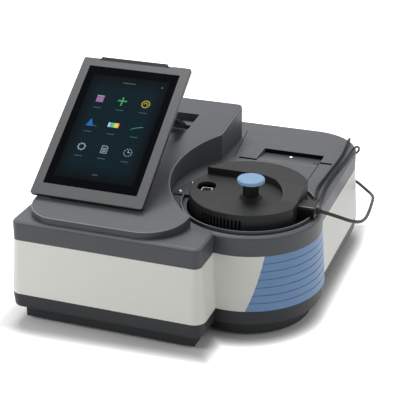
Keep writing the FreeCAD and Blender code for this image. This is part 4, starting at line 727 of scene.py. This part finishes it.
def join_grids(grids: Sequence[np.ndarray], closed: bool = False) -> tuple[np.ndarray, np.ndarray]:
    """Number the points and faces of several grids as one mesh.

    Args:
        grids: Arrays of rows by columns by x, y, z.
        closed: True where their columns run round.

    Returns:
        Points and faces.
    """
    faces, start = [], 0
    for grid in grids:
        faces.append(grid_faces(*grid.shape[:2], closed=closed) + start)
        start += grid.shape[0] * grid.shape[1]
    return np.concatenate([grid.reshape(-1, 3) for grid in grids]), np.concatenate(faces)


def sheet_piece(
    name: str, grids: Sequence[np.ndarray], body: Body, finish: str, thickness: float = FILM
) -> bpy.types.Object:
    """Make one thin piece from sheets.

    Args:
        name: The piece's name.
        grids: Arrays of rows by columns by x, y, z in metres.
        body, finish: As in finish_piece.
        thickness: Depth of the sheet behind its face.

    Returns:
        The object.
    """
    obj = new_mesh(name, *join_grids(grids))
    thick = obj.modifiers.new("thickness", "SOLIDIFY")
    thick.thickness, thick.offset = thickness, -1.0
    return finish_piece(obj, body, finish, smooth=False)


def flat(corner: Point, along: Point, up: Point) -> np.ndarray:
    """Four-cornered sheet from a corner and two sides, all in millimetres."""
    corner, along, up = (np.array(v, float) * MM for v in (corner, along, up))
    return np.array([[corner, corner + along], [corner + up, corner + up + along]])


def level(points: np.ndarray, height: float) -> np.ndarray:
    """Rows of x, y set at one height."""
    return np.column_stack([points, np.full(len(points), height)])


def around(degrees: Sequence[float] | np.ndarray, radius: float) -> np.ndarray:
    """Rows of x, y on a circle about the changer's middle, in millimetres."""
    turn = np.radians(degrees)
    return np.column_stack([np.cos(turn), np.sin(turn)]) * radius + POD


@dataclass
class Studio:
    """Camera at the photograph's angle, soft lamps, floor and white backdrop."""

    lens: float = 107.99
    eye: Point = (0.44218, -1.25176, 0.70096)
    yaw: float = 0.343513
    pitch: float = 0.428083
    roll: float = 0.001341
    floor_half: float = 4.0
    sky: float = 0.30
    glow: float = 0.9
    # Reach and leftward lean of the painted contact shadow, where the floor's glow is held back.
    painted_shadow_reach: float = 0.024
    painted_shadow_lean: float = 0.06
    box_feet: tuple[tuple[float, float, float, float], ...] = (
        (-0.0493, 0.0, 0.1118, 0.1922),
        (0.0, 0.0646, 0.1611, 0.1276),
    )
    round_foot: Point = (0.076, -0.063, 0.085)
    lamps: tuple[tuple[str, Point, float, float], ...] = (
        ("key_lamp", (-0.9, -0.8, 0.6), 0.55, 5.2),
        ("top_lamp", (-0.45, 0.7, 1.9), 1.2, 26.0),
        ("fill_lamp", (1.5, -0.3, 0.8), 1.0, 4.2),
    )

    def camera(self) -> None:
        """Place the camera: turned about Z by the yaw, down by the pitch and about its view by the roll."""
        data = bpy.data.cameras.new("photo_camera")
        data.lens, data.sensor_width = self.lens, 36.0
        data.clip_start, data.clip_end = 0.05, 60.0
        cam = bpy.data.objects.new("photo_camera", data)
        turn = Matrix.Rotation(self.yaw, 4, "Z") @ Matrix.Rotation(math.pi / 2 - self.pitch, 4, "X")
        cam.matrix_world = Matrix.Translation(self.eye) @ turn @ Matrix.Rotation(self.roll, 4, "Z")
        bpy.context.scene.collection.objects.link(cam)
        bpy.context.scene.camera = cam

    @staticmethod
    def seen_directly(graph: Graph) -> Value:
        """Tell what the eye, a mirror or glass sees from light that falls on the object.

        Args:
            graph: The material or world that asks.

        Returns:
            1 for camera, mirror and glass rays, 0 for others.
        """
        path = graph.raw("ShaderNodeLightPath")
        names = ("Is Camera Ray", "Is Glossy Ray", "Is Transmission Ray")
        camera, mirrored, passed = (Value(graph, path.outputs[name]) for name in names)
        return (camera + mirrored + passed).clamp()

    def world(self) -> None:
        """White to the eye and to mirrors, softer as a light."""
        world = bpy.data.worlds.new("studio_world")
        graph = Graph(world)
        seen = self.seen_directly(graph)
        strength = seen * (1.0 - self.sky) + self.sky
        back = graph.node("ShaderNodeBackground", {}, {"Color": (1.0, 1.0, 1.0), "Strength": strength})
        graph.raw("ShaderNodeOutputWorld", {}, {"Surface": back})
        bpy.context.scene.world = world

    def away(self, graph: Graph) -> Value:
        """Tell how far a place on the floor is from the object's foot, wider at the left, which shapes the
        painted contact shadow.

        Formula: the least distance to two boxes, max(|x - cx| - hx, |y - cy| - hy),
        and to the round front, sqrt(dx dx + dy dy) - r; squared for a soft start.

        Args:
            graph: The floor's material.

        Returns:
            0 at the foot, 1 beyond the reach of the painted contact shadow.
        """
        x, y, _ = graph.axes()
        gaps = []
        for cx, cy, hx, hy in self.box_feet:
            across = (x - cx).size() - hx
            gaps.append(across.maths("MAXIMUM", (y - cy).size() - hy))
        cx, cy, radius = self.round_foot
        dx, dy = x - cx, y - cy
        gaps.append((dx * dx + dy * dy).maths("SQRT") - radius)
        near = gaps[0].maths("MINIMUM", gaps[1]).maths("MINIMUM", gaps[2])
        share = ((near + x * self.painted_shadow_lean) * (1.0 / self.painted_shadow_reach)).clamp()
        return share * share

    def floor(self) -> None:
        """Pale floor that keeps the lamps' shadow and reads white to the eye, with a painted contact shadow
        where its glow fades near the foot.
        """
        half = self.floor_half
        corners = np.array([[-half, -half, 0], [half, -half, 0], [half, half, 0], [-half, half, 0]])
        plane = new_mesh("studio_floor", corners, [[0, 1, 2, 3]])
        graph = Graph("pale_floor")
        # Painted contact shadow: the glow fades out near the object's foot.
        lit = self.seen_directly(graph) * self.away(graph)
        sockets = {
            "Base Color": graph.blend(graph.noise(140.0), (0.88, 0.88, 0.88), (0.92, 0.92, 0.92)),
            "Roughness": 0.7,
            "Specular IOR Level": 0.1,
            "Emission Color": graph.blend(lit, (0.0, 0.0, 0.0), (self.glow,) * 3),
            "Emission Strength": 1.0,
        }
        plane.data.materials.append(graph.surface(sockets))

    def lights(self) -> None:
        """Hang the soft lamps, each turned to the object's middle."""
        for name, spot, size, power in self.lamps:
            data = bpy.data.lights.new(name, "AREA")
            data.shape, data.size, data.energy = "DISK", size, power
            lamp = bpy.data.objects.new(name, data)
            aim = Vector((0.0, 0.0, 0.1)) - Vector(spot)
            lamp.matrix_world = Matrix.Translation(spot) @ aim.to_track_quat("-Z", "Y").to_matrix().to_4x4()
            bpy.context.scene.collection.objects.link(lamp)

    def build(self) -> None:
        """Make the whole studio."""
        bpy.context.scene.view_settings.view_transform = "Standard"
        self.world()
        self.floor()
        self.lights()


@dataclass
class Cords:
    """The changer's cable and the two water tubes, on smooth lines."""

    cable_route: tuple[Point, ...] = (
        (161, -64, 133.4), (170, -61, 130.6), (181, -54, 124.8), (191.5, -42, 116.2),
        (198.5, -24, 108.6), (199.5, 0, 103), (197.2, 30, 99.2), (193.7, 60, 95),
        (189.2, 92, 89), (180.6, 118, 81.6), (168.5, 142, 76), (158.5, 160, 73),
        (146, 177, 71), (130.5, 190.5, 69), (112, 200, 67.2), (94, 204, 66.2),
        (84, 204.4, 66),
    )
    tube_a_route: tuple[Point, ...] = (
        (153.2, -49, 136), (152.6, -37, 135.2), (150.5, -22, 132.2), (147.5, 0, 131),
        (146.8, 36, 131.1), (148.2, 70, 130.9), (150.6, 100, 131), (151.4, 126, 132),
        (152.8, 140, 132.4), (154.6, 151, 129), (153.8, 161, 121), (149, 170.5, 112),
        (141, 181, 104.5), (128, 193, 98.5), (110, 203.5, 93.5), (92.5, 210.5, 90),
        (79, 210.5, 88.3), (73.6, 203.5, 88), (72.5, 192, 88),
    )
    tube_b_route: tuple[Point, ...] = (
        (147.8, -49, 136), (147, -37, 136), (144.2, -23, 134.8), (140.8, -8, 132),
        (139, 8, 131), (140.2, 36, 130.9), (141.6, 70, 131.1), (143, 104, 130.9),
        (142, 128, 131.2), (140.6, 146, 131.8), (139.4, 160, 132.6), (138.6, 171.5, 130.6),
        (135.8, 180, 122), (130, 186.5, 112), (121, 192, 104), (110, 197, 97.5),
        (99, 201.5, 92.2), (90.5, 203.6, 89.4), (83.8, 202.4, 88.1), (80.3, 198.5, 88),
        (79.5, 192, 88),
    )
    cable_diameter: float = 0.004
    tube_diameter: float = 0.003
    cable_length: float = 0.3484
    tube_a_length: float = 0.3355
    tube_b_length: float = 0.3148
    order: int = 3
    steps: int = 10
    facets: int = 4

    def line(
        self, name: str, route: Sequence[Point], diameter: float, finish: str, slot: str
    ) -> bpy.types.Object:
        """Lay a round cord on a smooth spline through the pull of its points.

        Args:
            name: The piece's name.
            route: Points in millimetres, first at the exit.
            diameter: Outside diameter in metres.
            finish: As in finish_piece; slot is not used.

        Returns:
            The curve object.
        """
        curve = bpy.data.curves.new(name, "CURVE")
        curve.dimensions = "3D"
        spline = curve.splines.new("NURBS")
        spline.points.add(len(route) - 1)
        points = np.column_stack([np.array(route) * MM, np.ones(len(route))])
        spline.points.foreach_set("co", points.ravel())
        spline.order_u, spline.resolution_u, spline.use_endpoint_u = self.order, self.steps, True
        curve.bevel_depth, curve.bevel_resolution, curve.use_fill_caps = diameter / 2, self.facets, True
        obj = bpy.data.objects.new(name, curve)
        bpy.context.scene.collection.objects.link(obj)
        return finish_piece(obj, Body.CASE, finish)

    def build(self) -> None:
        cable = self.line("signal_cable", self.cable_route, self.cable_diameter, "cable", "cable_black")
        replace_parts(cable, "changer_cable")
        for name, node, route, length in (
            ("supply_tube", "water_tube_a", self.tube_a_route, self.tube_a_length),
            ("return_tube", "water_tube_b", self.tube_b_route, self.tube_b_length),
        ):
            tube = self.line(name, route, self.tube_diameter, "tube", "tube_black")
            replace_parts(tube, node)


@dataclass
class Display:
    """Lit picture on the tilted screen: panel, icons and small bars.

    Marks are drawn in millimetres about their own middle, then scaled and set down.
    """

    centre_x: float = -0.0876
    edge_y: float = -0.1516
    edge_z: float = 0.1458
    tilt: float = math.radians(35.1)
    glass_depth: float = 0.0005
    picture_half: float = 0.0485
    picture_low: float = 0.0265
    picture_high: float = 0.1715
    icon_scale: float = 0.78
    icon_lift: float = 0.00016
    columns: tuple[float, ...] = (-0.0285, 0.0, 0.0290)
    rows: tuple[float, ...] = (0.1375, 0.1035, 0.0695)
    bar_drop: float = 0.0125
    stroke: float = 0.9
    curve_stroke: float = 0.8

    def to_frame(self, across: np.ndarray, along: np.ndarray, lift: float) -> np.ndarray:
        """Set points of the screen's plane into the frame.

        Formula: y = y0 + s cos tilt - n sin tilt and z = z0 + s sin tilt + n cos tilt,
        where s runs up the screen and n stands out of it.

        Args:
            across: X in metres, in the frame.
            along: Distance up the screen from its lower edge.
            lift: Height above the glass.

        Returns:
            Rows of x, y, z.
        """
        out = lift - self.glass_depth
        y = self.edge_y + along * math.cos(self.tilt) - out * math.sin(self.tilt)
        z = self.edge_z + along * math.sin(self.tilt) + out * math.cos(self.tilt)
        return np.column_stack([across.ravel(), y.ravel(), z.ravel()])

    def slab(self, name: str, strips: Sequence[Strip], lift: float, finish: str) -> None:
        """Make one thin piece from flat strips in the screen's plane.

        Args:
            name: The piece's name.
            strips: Lower and upper edge of each, as arrays of (x, s).
            lift: Height above the glass.
            finish: Key of its finish.
        """
        edges = [np.concatenate(strip) for strip in strips]
        grids = [self.to_frame(both[:, 0], both[:, 1], lift).reshape(2, -1, 3) for both in edges]
        sheet_piece(name, grids, Body.SCREEN, finish)

    def set_down(self, strips: Sequence[Strip], x: float, s: float, scale: float = 1.0) -> list[Strip]:
        """Scale strips and move them to a place on the screen.

        Args:
            strips: Strips in millimetres about their own middle.
            x, s: Distance right of the screen's middle and up the screen in metres.
            scale: Factor on their size.

        Returns:
            Strips in metres.
        """
        spot = (self.centre_x + x, s)
        return [tuple(edge * (scale * MM) + spot for edge in strip) for strip in strips]

    def ring(self, radius: float, turn: tuple[float, float] = (0.0, 360.0), width: float = 0.0) -> Strip:
        """Arc about the middle.

        Formula: points at radius plus and minus half the width, at even angles.

        Args:
            radius: Radius of its middle line.
            turn: First and last angle in degrees.
            width: Its width, or 0 for the usual stroke.

        Returns:
            Its two edges.
        """
        half = (width or self.stroke / self.icon_scale) / 2
        angle = np.radians(np.linspace(*turn, 33))
        rim = np.column_stack([np.cos(angle), np.sin(angle)])
        return (rim * (radius + half), rim * (radius - half))

    def dashes(self, radius: float, count: int) -> list[Strip]:
        """Ring of even dashes, each three fifths of its share."""
        step = 360.0 / count
        return [self.ring(radius, (i * step, (i + 0.6) * step)) for i in range(count)]

    @staticmethod
    def disc(x: float, s: float, radius: float) -> Strip:
        """Filled circle as a strip between its lower and upper half."""
        angle = np.linspace(math.pi, 2 * math.pi, 17)
        low = np.column_stack([np.cos(angle), np.sin(angle)]) * radius
        return (low + (x, s), low * (1, -1) + (x, s))

    @staticmethod
    def plate(x: float, s: float, half_width: float, half_height: float, tip: float = 1.0) -> Strip:
        """Upright plate about a point; tip is its width at the top as a share of its foot."""
        ends = np.array([(-half_width, 0.0), (half_width, 0.0)])
        return (ends + (x, s - half_height), ends * tip + (x, s + half_height))

    @staticmethod
    def bar(half_length: float, width: float) -> Strip:
        """Level bar with half-round ends about the middle.

        Formula: half height = sqrt(r squared - d squared) within r of an end, where
        d is the distance in from the end's centre.

        Args:
            half_length: Half its length.
            width: Its width, which is 2 r.

        Returns:
            Its lower and upper edge.
        """
        r = width / 2
        turn = np.linspace(0, math.pi / 2, 6)
        reach = half_length - r
        ends = np.concatenate([-reach - r * np.cos(turn), reach + r * np.sin(turn)])
        half = np.concatenate([r * np.sin(turn), r * np.cos(turn)])
        return (np.column_stack([ends, -half]), np.column_stack([ends, half]))

    def strokes(self, runs: Sequence[Sequence[tuple[float, float]]], width: float = 0.0) -> list[Strip]:
        """Straight strokes from point to point, each a strip of its own.

        Args:
            runs: Points of each run of strokes.
            width: Their width, or 0 for the usual stroke.

        Returns:
            The strips.
        """
        half = (width or self.stroke / self.icon_scale) / 2
        strips = []
        for a, b in (pair for run in runs for pair in pairwise(np.array(run, float))):
            along = (b - a) / np.linalg.norm(b - a) * half
            side = np.array([along[1], -along[0]])
            ends = np.array([a - along, b + along])
            strips.append((ends + side, ends - side))
        return strips

    def icons(self) -> dict[str, tuple[str, int, int, list[Strip]]]:
        """Draw the icons.

        Returns:
            Name to finish, column, row and strips.
        """
        cross = [[(-6.6, 0.8), (5.6, 0.8)], [(-0.6, -6.6), (-0.6, -1.2)], [(-0.6, 2.8), (-0.6, 6.2)]]
        page = [(-4.6, -6.2), (4.6, -6.2), (4.6, 3.4), (1.8, 6.2), (-4.6, 6.2), (-4.6, -6.2)]
        text = [[(-2.2, s), (2.2, s)] for s in (-3.4, -0.8, 1.8)]
        hands = [[(0.0, 3.6), (0.0, 0.0), (3.0, 0.4)]]
        arc = (-60.0, 200.0)
        sweep = np.linspace(0.0, 1.0, 25)
        rise = np.column_stack([(sweep - 0.5) * 17.6, np.sqrt(sweep) * 7.4 - 4.6])
        half = (0.0, self.curve_stroke / self.icon_scale / 2)
        return {
            "icon_window": ("ui_rose", 0, 0, [self.plate(0.0, -1.2, 5.8, 4.6)]),
            "icon_header": ("ui_white", 0, 0, [self.plate(0.0, 5.2, 5.8, 1.1)]),
            "icon_cross": ("ui_green", 1, 0, self.strokes(cross, 2.4)),
            "icon_ring": ("ui_yellow", 2, 0, [self.ring(6.0, width=1.5), self.ring(2.6, arc, 1.2)]),
            "icon_peak": ("ui_blue", 0, 1, [self.plate(-1.0, 0.0, 6.0, 6.2, tip=0.1)]),
            "icon_drops": ("ui_pale", 0, 1, [self.disc(x, -5.0, 1.2) for x in (6.4, 9.2)]),
            "icon_spectrum": ("ui_spectrum", 1, 1, [self.plate(0.0, 0.0, 8.6, 4.0)]),
            "icon_gear": ("ui_white", 0, 2, [*self.dashes(6.0, 8), self.ring(5.0)]),
            "icon_page": ("ui_white", 1, 2, self.strokes([page]) + self.strokes(text, 1.4)),
            "icon_timer": ("ui_white", 2, 2, self.dashes(6.2, 10) + self.strokes(hands)),
            "icon_curve": ("ui_green", 2, 1, [(rise - half, rise + half)]),
        }

    def build(self) -> None:
        """Make the lit panel, nine generic icons, their bars and a corner mark."""
        step = np.linspace(-1, 1, 9)[:, None]
        across = self.centre_x + step * self.picture_half
        low = np.column_stack([across, np.full_like(step, self.picture_low)])
        high = low + (0.0, self.picture_high - self.picture_low)
        self.slab("picture_ground", [(low, high)], self.icon_lift / 2, "ui_ground")
        for name, (finish, column, row, strips) in self.icons().items():
            x, s = self.columns[column], self.rows[row]
            self.slab(name, self.set_down(strips, x, s, self.icon_scale), self.icon_lift, finish)
        bars = [(x, s - self.bar_drop, 4.8, 1.1) for s in self.rows for x in self.columns]
        bars += [(0.0, 0.1635, 8.0, 1.4), (0.0, 0.0345, 3.6, 1.2)]
        strips = [strip for x, s, *size in bars for strip in self.set_down([self.bar(*size)], x, s)]
        self.slab("label_bars", strips, self.icon_lift, "ui_pale")
        dot = self.set_down([self.disc(0.0, 0.0, 1.4)], 0.0415, 0.1630)
        self.slab("corner_mark", dot, self.icon_lift, "ui_pale")


@dataclass
class DeckSeams:
    """Thin gaps between the deck and its inset panels."""

    deck_z: float = 0.128
    lift: float = 0.00008
    width: float = 0.0009
    runs: tuple[tuple[tuple[float, float], ...], ...] = (
        ((44.0, 70.6), (44.0, 107.4)),
        ((121.0, 9.0), (121.0, 81.5)),
        ((21.5, 66.7), (44.0, 66.7)),
        ((21.5, 70.5), (43.5, 70.5)),
        ((121.4, 82.7), (136.5, 82.7)),
        ((121.4, 86.5), (136.5, 86.5)),
        ((15.7, 66.5), (11.3, 104.2), (7.6, 132.3), (4.4, 158.0)),
    )

    def build(self) -> None:
        """Lay each gap as a flat strip a hair above the deck."""
        grids = []
        for run in self.runs:
            line = np.array(run) * MM
            along = np.gradient(line, axis=0)
            along /= np.linalg.norm(along, axis=1)[:, None]
            side = np.column_stack([along[:, 1], -along[:, 0]]) * self.width / 2
            both = np.concatenate([line + side, line - side])
            grids.append(level(both, self.deck_z + self.lift).reshape(2, -1, 3))
        sheet_piece("deck_seams", grids, Body.CASE, "seam")


@dataclass
class PaintedShadeLinings:
    """Dark sheets in the lid's slots, on the recess's step and behind the vents: painted shade in those
    hollows.
    """

    deck_z: float = 128.0
    slots: tuple[Point, ...] = ((21.5, 67.0, 22.3), (121.2, 83.0, 15.3))
    slot_wide: float = 3.2
    slot_deep: float = 9.0
    recess: tuple[float, float, float, float] = (44.0, 121.0, 108.0, 5.5)
    vent_radius: float = 64.5
    vent_turn: tuple[float, float] = (-130.0, -72.0)
    vent_z: tuple[float, float] = (114.0, 140.6)
    vent_skin: float = 0.0003
    gap: float = 0.12
    below: float = 0.25
    skin: float = 0.00008

    def slot_grids(self, x: float, y: float, long: float) -> list[np.ndarray]:
        """Walls and floor of one slot, all facing into it.

        Args:
            x, y: Left end and front edge of the slot.
            long: Length of the slot.

        Returns:
            Five sheets.
        """
        x0, x1, y0, y1 = x + self.gap, x + long - self.gap, y + self.gap, y + self.slot_wide - self.gap
        foot = self.deck_z - self.slot_deep + self.gap
        up = (0, 0, self.deck_z - self.below - foot)
        return [
            flat((x0, y0, foot), (x1 - x0, 0, 0), (0, y1 - y0, 0)),
            flat((x0, y1, foot), (x1 - x0, 0, 0), up),
            flat((x1, y0, foot), (x0 - x1, 0, 0), up),
            flat((x0, y0, foot), (0, y1 - y0, 0), up),
            flat((x1, y1, foot), (0, y0 - y1, 0), up),
        ]

    def build(self) -> None:
        """Make the painted shade of the deck's hollows and of the changer's vents."""
        # Painted shade: dark sheets on the slots' walls and floors and on the recess's step.
        grids = [grid for slot in self.slots for grid in self.slot_grids(*slot)]
        x0, x1, y, deep = self.recess
        foot = (x0 + self.gap, y - self.gap, self.deck_z - deep + self.gap)
        grids.append(flat(foot, (x1 - x0 - 2 * self.gap, 0, 0), (0, 0, deep - self.below - self.gap)))
        sheet_piece("deck_painted_shade", grids, Body.CASE, "seam", self.skin)
        # Painted shade: dark sheet behind the vents.
        ring = around(np.linspace(*self.vent_turn, 41), self.vent_radius)
        rows = np.array([level(ring, z) for z in self.vent_z]) * MM
        sheet_piece("vent_painted_shade", [rows], Body.CASE, "seam", self.vent_skin)


@dataclass
class WellRimHighlight:
    """Painted highlight: a light line on top of the lip around the well, open where the lip is."""

    radii: tuple[float, float] = (77.6, 76.6)
    top: float = 131.66
    turns: tuple[tuple[float, float], ...] = ((6.3, 150.9), (182.1, 348.5))
    skin: float = 0.00005

    def build(self) -> None:
        """Lay both arcs: x = xp + r cos t, y = yp + r sin t."""
        grids = [
            np.array([level(around(np.linspace(*turn, 97), r), self.top) for r in self.radii]) * MM
            for turn in self.turns
        ]
        sheet_piece("well_rim_painted_highlight", grids, Body.CASE, "rim", self.skin)


@dataclass
class CellRims:
    """Frosted top edges of the cells on the carousel."""

    pitch: float = 49.5
    first: float = 185.4
    count: int = 8
    half_out: float = 6.25
    half_in: float = 5.0
    top: float = 141.58
    skin: float = 0.00005

    def build(self) -> None:
        """Lay a square ring on each cell: corners turned with the cell about the pod."""
        square = np.array([(-1, -1), (1, -1), (1, 1), (-1, 1), (-1, -1)], float)
        turns = self.first + 360.0 * np.arange(self.count) / self.count
        grids = []
        for angle, middle in zip(np.radians(turns), around(turns, self.pitch)):
            turn = np.array([[math.cos(angle), math.sin(angle)], [-math.sin(angle), math.cos(angle)]])
            edges = (square * half @ turn + middle for half in (self.half_out, self.half_in))
            grids.append(np.array([level(edge, self.top) for edge in edges]) * MM)
        sheet_piece("cell_rims", grids, Body.TURRET, "frosted", self.skin)


@dataclass
class ScrewHeads:
    """Cross-head screws of the changer, the deck, the rear panel and the screen's back."""

    display: Display
    deck_size: tuple[float, float] = (2.6, 1.4)
    recess_spot: Point = (81.0, 97.0, 124.6)
    recess_tilt: float = math.atan2(5.5, 38.0)
    ear_turns: tuple[float, float] = (157.0, 176.0)
    ear_radius: float = 86.0
    ear_z: float = 129.6
    rear_size: tuple[float, float] = (2.3, 1.1)
    rear_y: float = 192.0
    rear_spots: tuple[tuple[float, float], ...] = ((-123, 72), (60, 94), (78, 51), (-54, 72), (-14, 72))
    fan: tuple[float, float, float] = (-95, 72, 20.5)
    back_size: tuple[float, float] = (2.2, 0.9)
    back_half: float = 0.058
    back_rows: tuple[float, float] = (0.024, 0.176)
    back_depth: float = 0.0072
    steps: int = 33

    def head(self, place: Point, out: Point, radius: float, height: float) -> list[np.ndarray]:
        """Dome with a cross recess and the flat seat that closes it.

        Formula: a square grid becomes a disc by x = a sqrt(1 - b b / 2) and the same
        for y; the dome is height sqrt(1 - 0.8 r r), and two crossing arms sink it.

        Args:
            place: Middle of its seat in millimetres.
            out: Direction in which it faces.
            radius, height: Size of the head in millimetres.

        Returns:
            Points of both in metres, rows by columns.
        """
        side = np.sin(np.linspace(-1, 1, self.steps) * math.pi / 2)
        a, b = np.meshgrid(side, side)
        x, y = a * np.sqrt(1 - b * b / 2), b * np.sqrt(1 - a * a / 2)
        r = np.hypot(x, y)
        near, far = np.minimum(abs(x), abs(y)), np.maximum(abs(x), abs(y))
        cross = np.clip((0.19 - near) / 0.07, 0, 1) * np.clip((0.62 - far) / 0.1, 0, 1)
        z = height * (np.sqrt(np.clip(1 - 0.8 * r * r, 0, 1)) - 0.55 * cross)
        z[np.maximum(abs(a), abs(b)) > 0.9999] = 0.0
        normal = np.array(out, float) / np.linalg.norm(out)
        across = np.cross(normal, (1.0, 0.0, 0.0))
        across /= np.linalg.norm(across)
        up = np.cross(normal, across)
        disc = np.array(place) + radius * (x[..., None] * across + y[..., None] * up)
        return [(disc + z[..., None] * normal) * MM, disc[:, ::-1] * MM]

    def piece(self, name: str, heads: Sequence[np.ndarray], body: Body) -> bpy.types.Object:
        """Join several heads into one steel piece."""
        return finish_piece(new_mesh(name, *join_grids(heads)), body, "steel")

    def build(self) -> None:
        """Make the screws of the deck and changer, of the rear panel and of the screen's back."""
        lean = (0.0, math.sin(self.recess_tilt), math.cos(self.recess_tilt))
        deck = self.head(self.recess_spot, lean, *self.deck_size)
        for x, y in around(self.ear_turns, self.ear_radius):
            deck += self.head((x, y, self.ear_z), (0, 0, 1), *self.deck_size)
        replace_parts(self.piece("deck_screws", deck, Body.CASE), "bright_screws")
        x, z, half = self.fan
        spots = [*self.rear_spots, *((x + half * i, z + half * j) for i in (-1, 1) for j in (-1, 1))]
        out = (0, 1, 0)
        rear = [grid for x, z in spots for grid in self.head((x, self.rear_y, z), out, *self.rear_size)]
        self.piece("rear_screws", rear, Body.CASE)
        tilt = self.display.tilt
        across, along = np.meshgrid((-self.back_half, self.back_half), self.back_rows, indexing="ij")
        lift = self.display.glass_depth - self.back_depth
        seats = self.display.to_frame(self.display.centre_x + across, along, lift) / MM
        lean = (0, math.sin(tilt), -math.cos(tilt))
        back = [grid for seat in seats for grid in self.head(seat, lean, *self.back_size)]
        self.piece("screen_back_screws", back, Body.SCREEN)


@dataclass
class ConnectorTrimAndPaintedLight:
    """Ribbed strain relief, barbs, and the connector block's dark face and bright top edges, which are
    painted shade in its hollow front and painted highlight on its edges.

    relief_reach is its start, end and bore; relief_shape its radii at foot and tip,
    the height of its ribs and their number; barb_shape crest, drop and teeth.
    """

    block: tuple[float, float, float, float, float] = (136.5, 156.5, -77.0, 128.0, 142.0)
    gland: Point = (156.5, -64.0, 133.4)
    relief_reach: Point = (0.05, 4.45, 2.1)
    relief_shape: tuple[float, float, float, int] = (4.05, 3.05, 0.3, 5)
    barbs: tuple[tuple[float, float], ...] = ((153.2, 136.0), (147.8, 136.0))
    barb_y: tuple[float, float] = (-53.4, -49.1)
    barb_shape: tuple[float, float, int] = (2.35, 0.4, 3)
    skin: float = 0.00008

    @staticmethod
    def turned(start: Point, axis: Point, profile: np.ndarray, columns: int = 40) -> np.ndarray:
        """Carry a profile round an axis.

        Formula: start + along axis + radius (u cos t + v sin t), where u and v
        stand square to the axis.

        Args:
            start: Where the profile's first number is 0, in millimetres.
            axis: Unit vector along X or Y.
            profile: Rows of distance along the axis and radius.
            columns: Points round the axis.

        Returns:
            Points in metres, rows by columns, the columns running round.
        """
        axis = np.array(axis, float)
        u = np.array((0.0, 0.0, 1.0))
        v = np.cross(axis, u)
        t = np.linspace(0, 2 * math.pi, columns, endpoint=False)
        rim = np.cos(t)[:, None] * u + np.sin(t)[:, None] * v
        return (np.array(start) + profile[:, :1, None] * axis + profile[:, 1:, None] * rim[None]) * MM

    def relief(self) -> None:
        """Make the strain relief: a cone with five soft ribs."""
        t = np.linspace(0, 1, 61)
        x0, x1, bore = self.relief_reach
        foot, tip, rib, ribs = self.relief_shape
        radius = foot + (tip - foot) * t + rib * np.clip(np.sin(2 * math.pi * ribs * t), 0, 1)
        profile = np.column_stack([x0 + (x1 - x0) * t, radius])
        profile = np.concatenate([[[x0, bore]], profile, [[x1, bore], [x0, bore]]])
        grid = self.turned(self.gland, (1, 0, 0), profile)
        relief = new_mesh("strain_relief", *join_grids([grid], True))
        finish_piece(relief, Body.CASE, "cable")

    def build(self) -> None:
        """Make the relief, the barbs, the painted shade on the block's face and the painted highlight
        strips on its top edges.
        """
        self.relief()
        y0, y1 = self.barb_y
        t = np.linspace(0, 1, 61)
        crest, drop, teeth = self.barb_shape
        saw = crest - drop * ((t * teeth) % 1.0)
        wall = [[y1 - y0, 1.0], [0.0, 1.0]]
        profile = np.concatenate([wall[1:], np.column_stack([(y1 - y0) * t, saw]), wall])
        grids = [self.turned((x, y0, z), (0, 1, 0), profile) for x, z in self.barbs]
        finish_piece(new_mesh("hose_barbs", *join_grids(grids, True)), Body.CASE, "black")
        x0, x1, y, z0, z1 = self.block
        # Dark sheet on the block's front: painted shade of its hollow.
        face = flat((x0 + 1.2, y - 0.1, z0 + 1.2), (x1 - x0 - 2.4, 0, 0), (0, 0, z1 - z0 - 4.0))
        sheet_piece("block_face_painted_shade", [face], Body.CASE, "seam", self.skin)
        # Steel strips on the block's top edges: painted highlight.
        highlight_strips = [
            flat((x0 + 0.8, y + 0.3, z1 + 0.1), (x1 - x0 - 1.6, 0, 0), (0, 0.8, 0)),
            flat((x0 + 0.8, y + 1.1, z1 + 0.1), (0.8, 0, 0), (0, 9.0, 0)),
        ]
        sheet_piece("block_edge_painted_highlight", highlight_strips, Body.CASE, "steel", self.skin)


def main() -> None:
    """Build every sub-assembly in order."""
    logging.basicConfig(level=logging.INFO, format="%(name)s: %(message)s")
    studio = Studio()
    studio.camera()
    Cords().build()
    dress_nodes(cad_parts)
    display = Display()
    rest = (DeckSeams(), PaintedShadeLinings(), WellRimHighlight(), CellRims(), ScrewHeads(display), ConnectorTrimAndPaintedLight())
    for assembly in (display, *rest, studio):
        assembly.build()


if __name__ == "__main__":
    main()
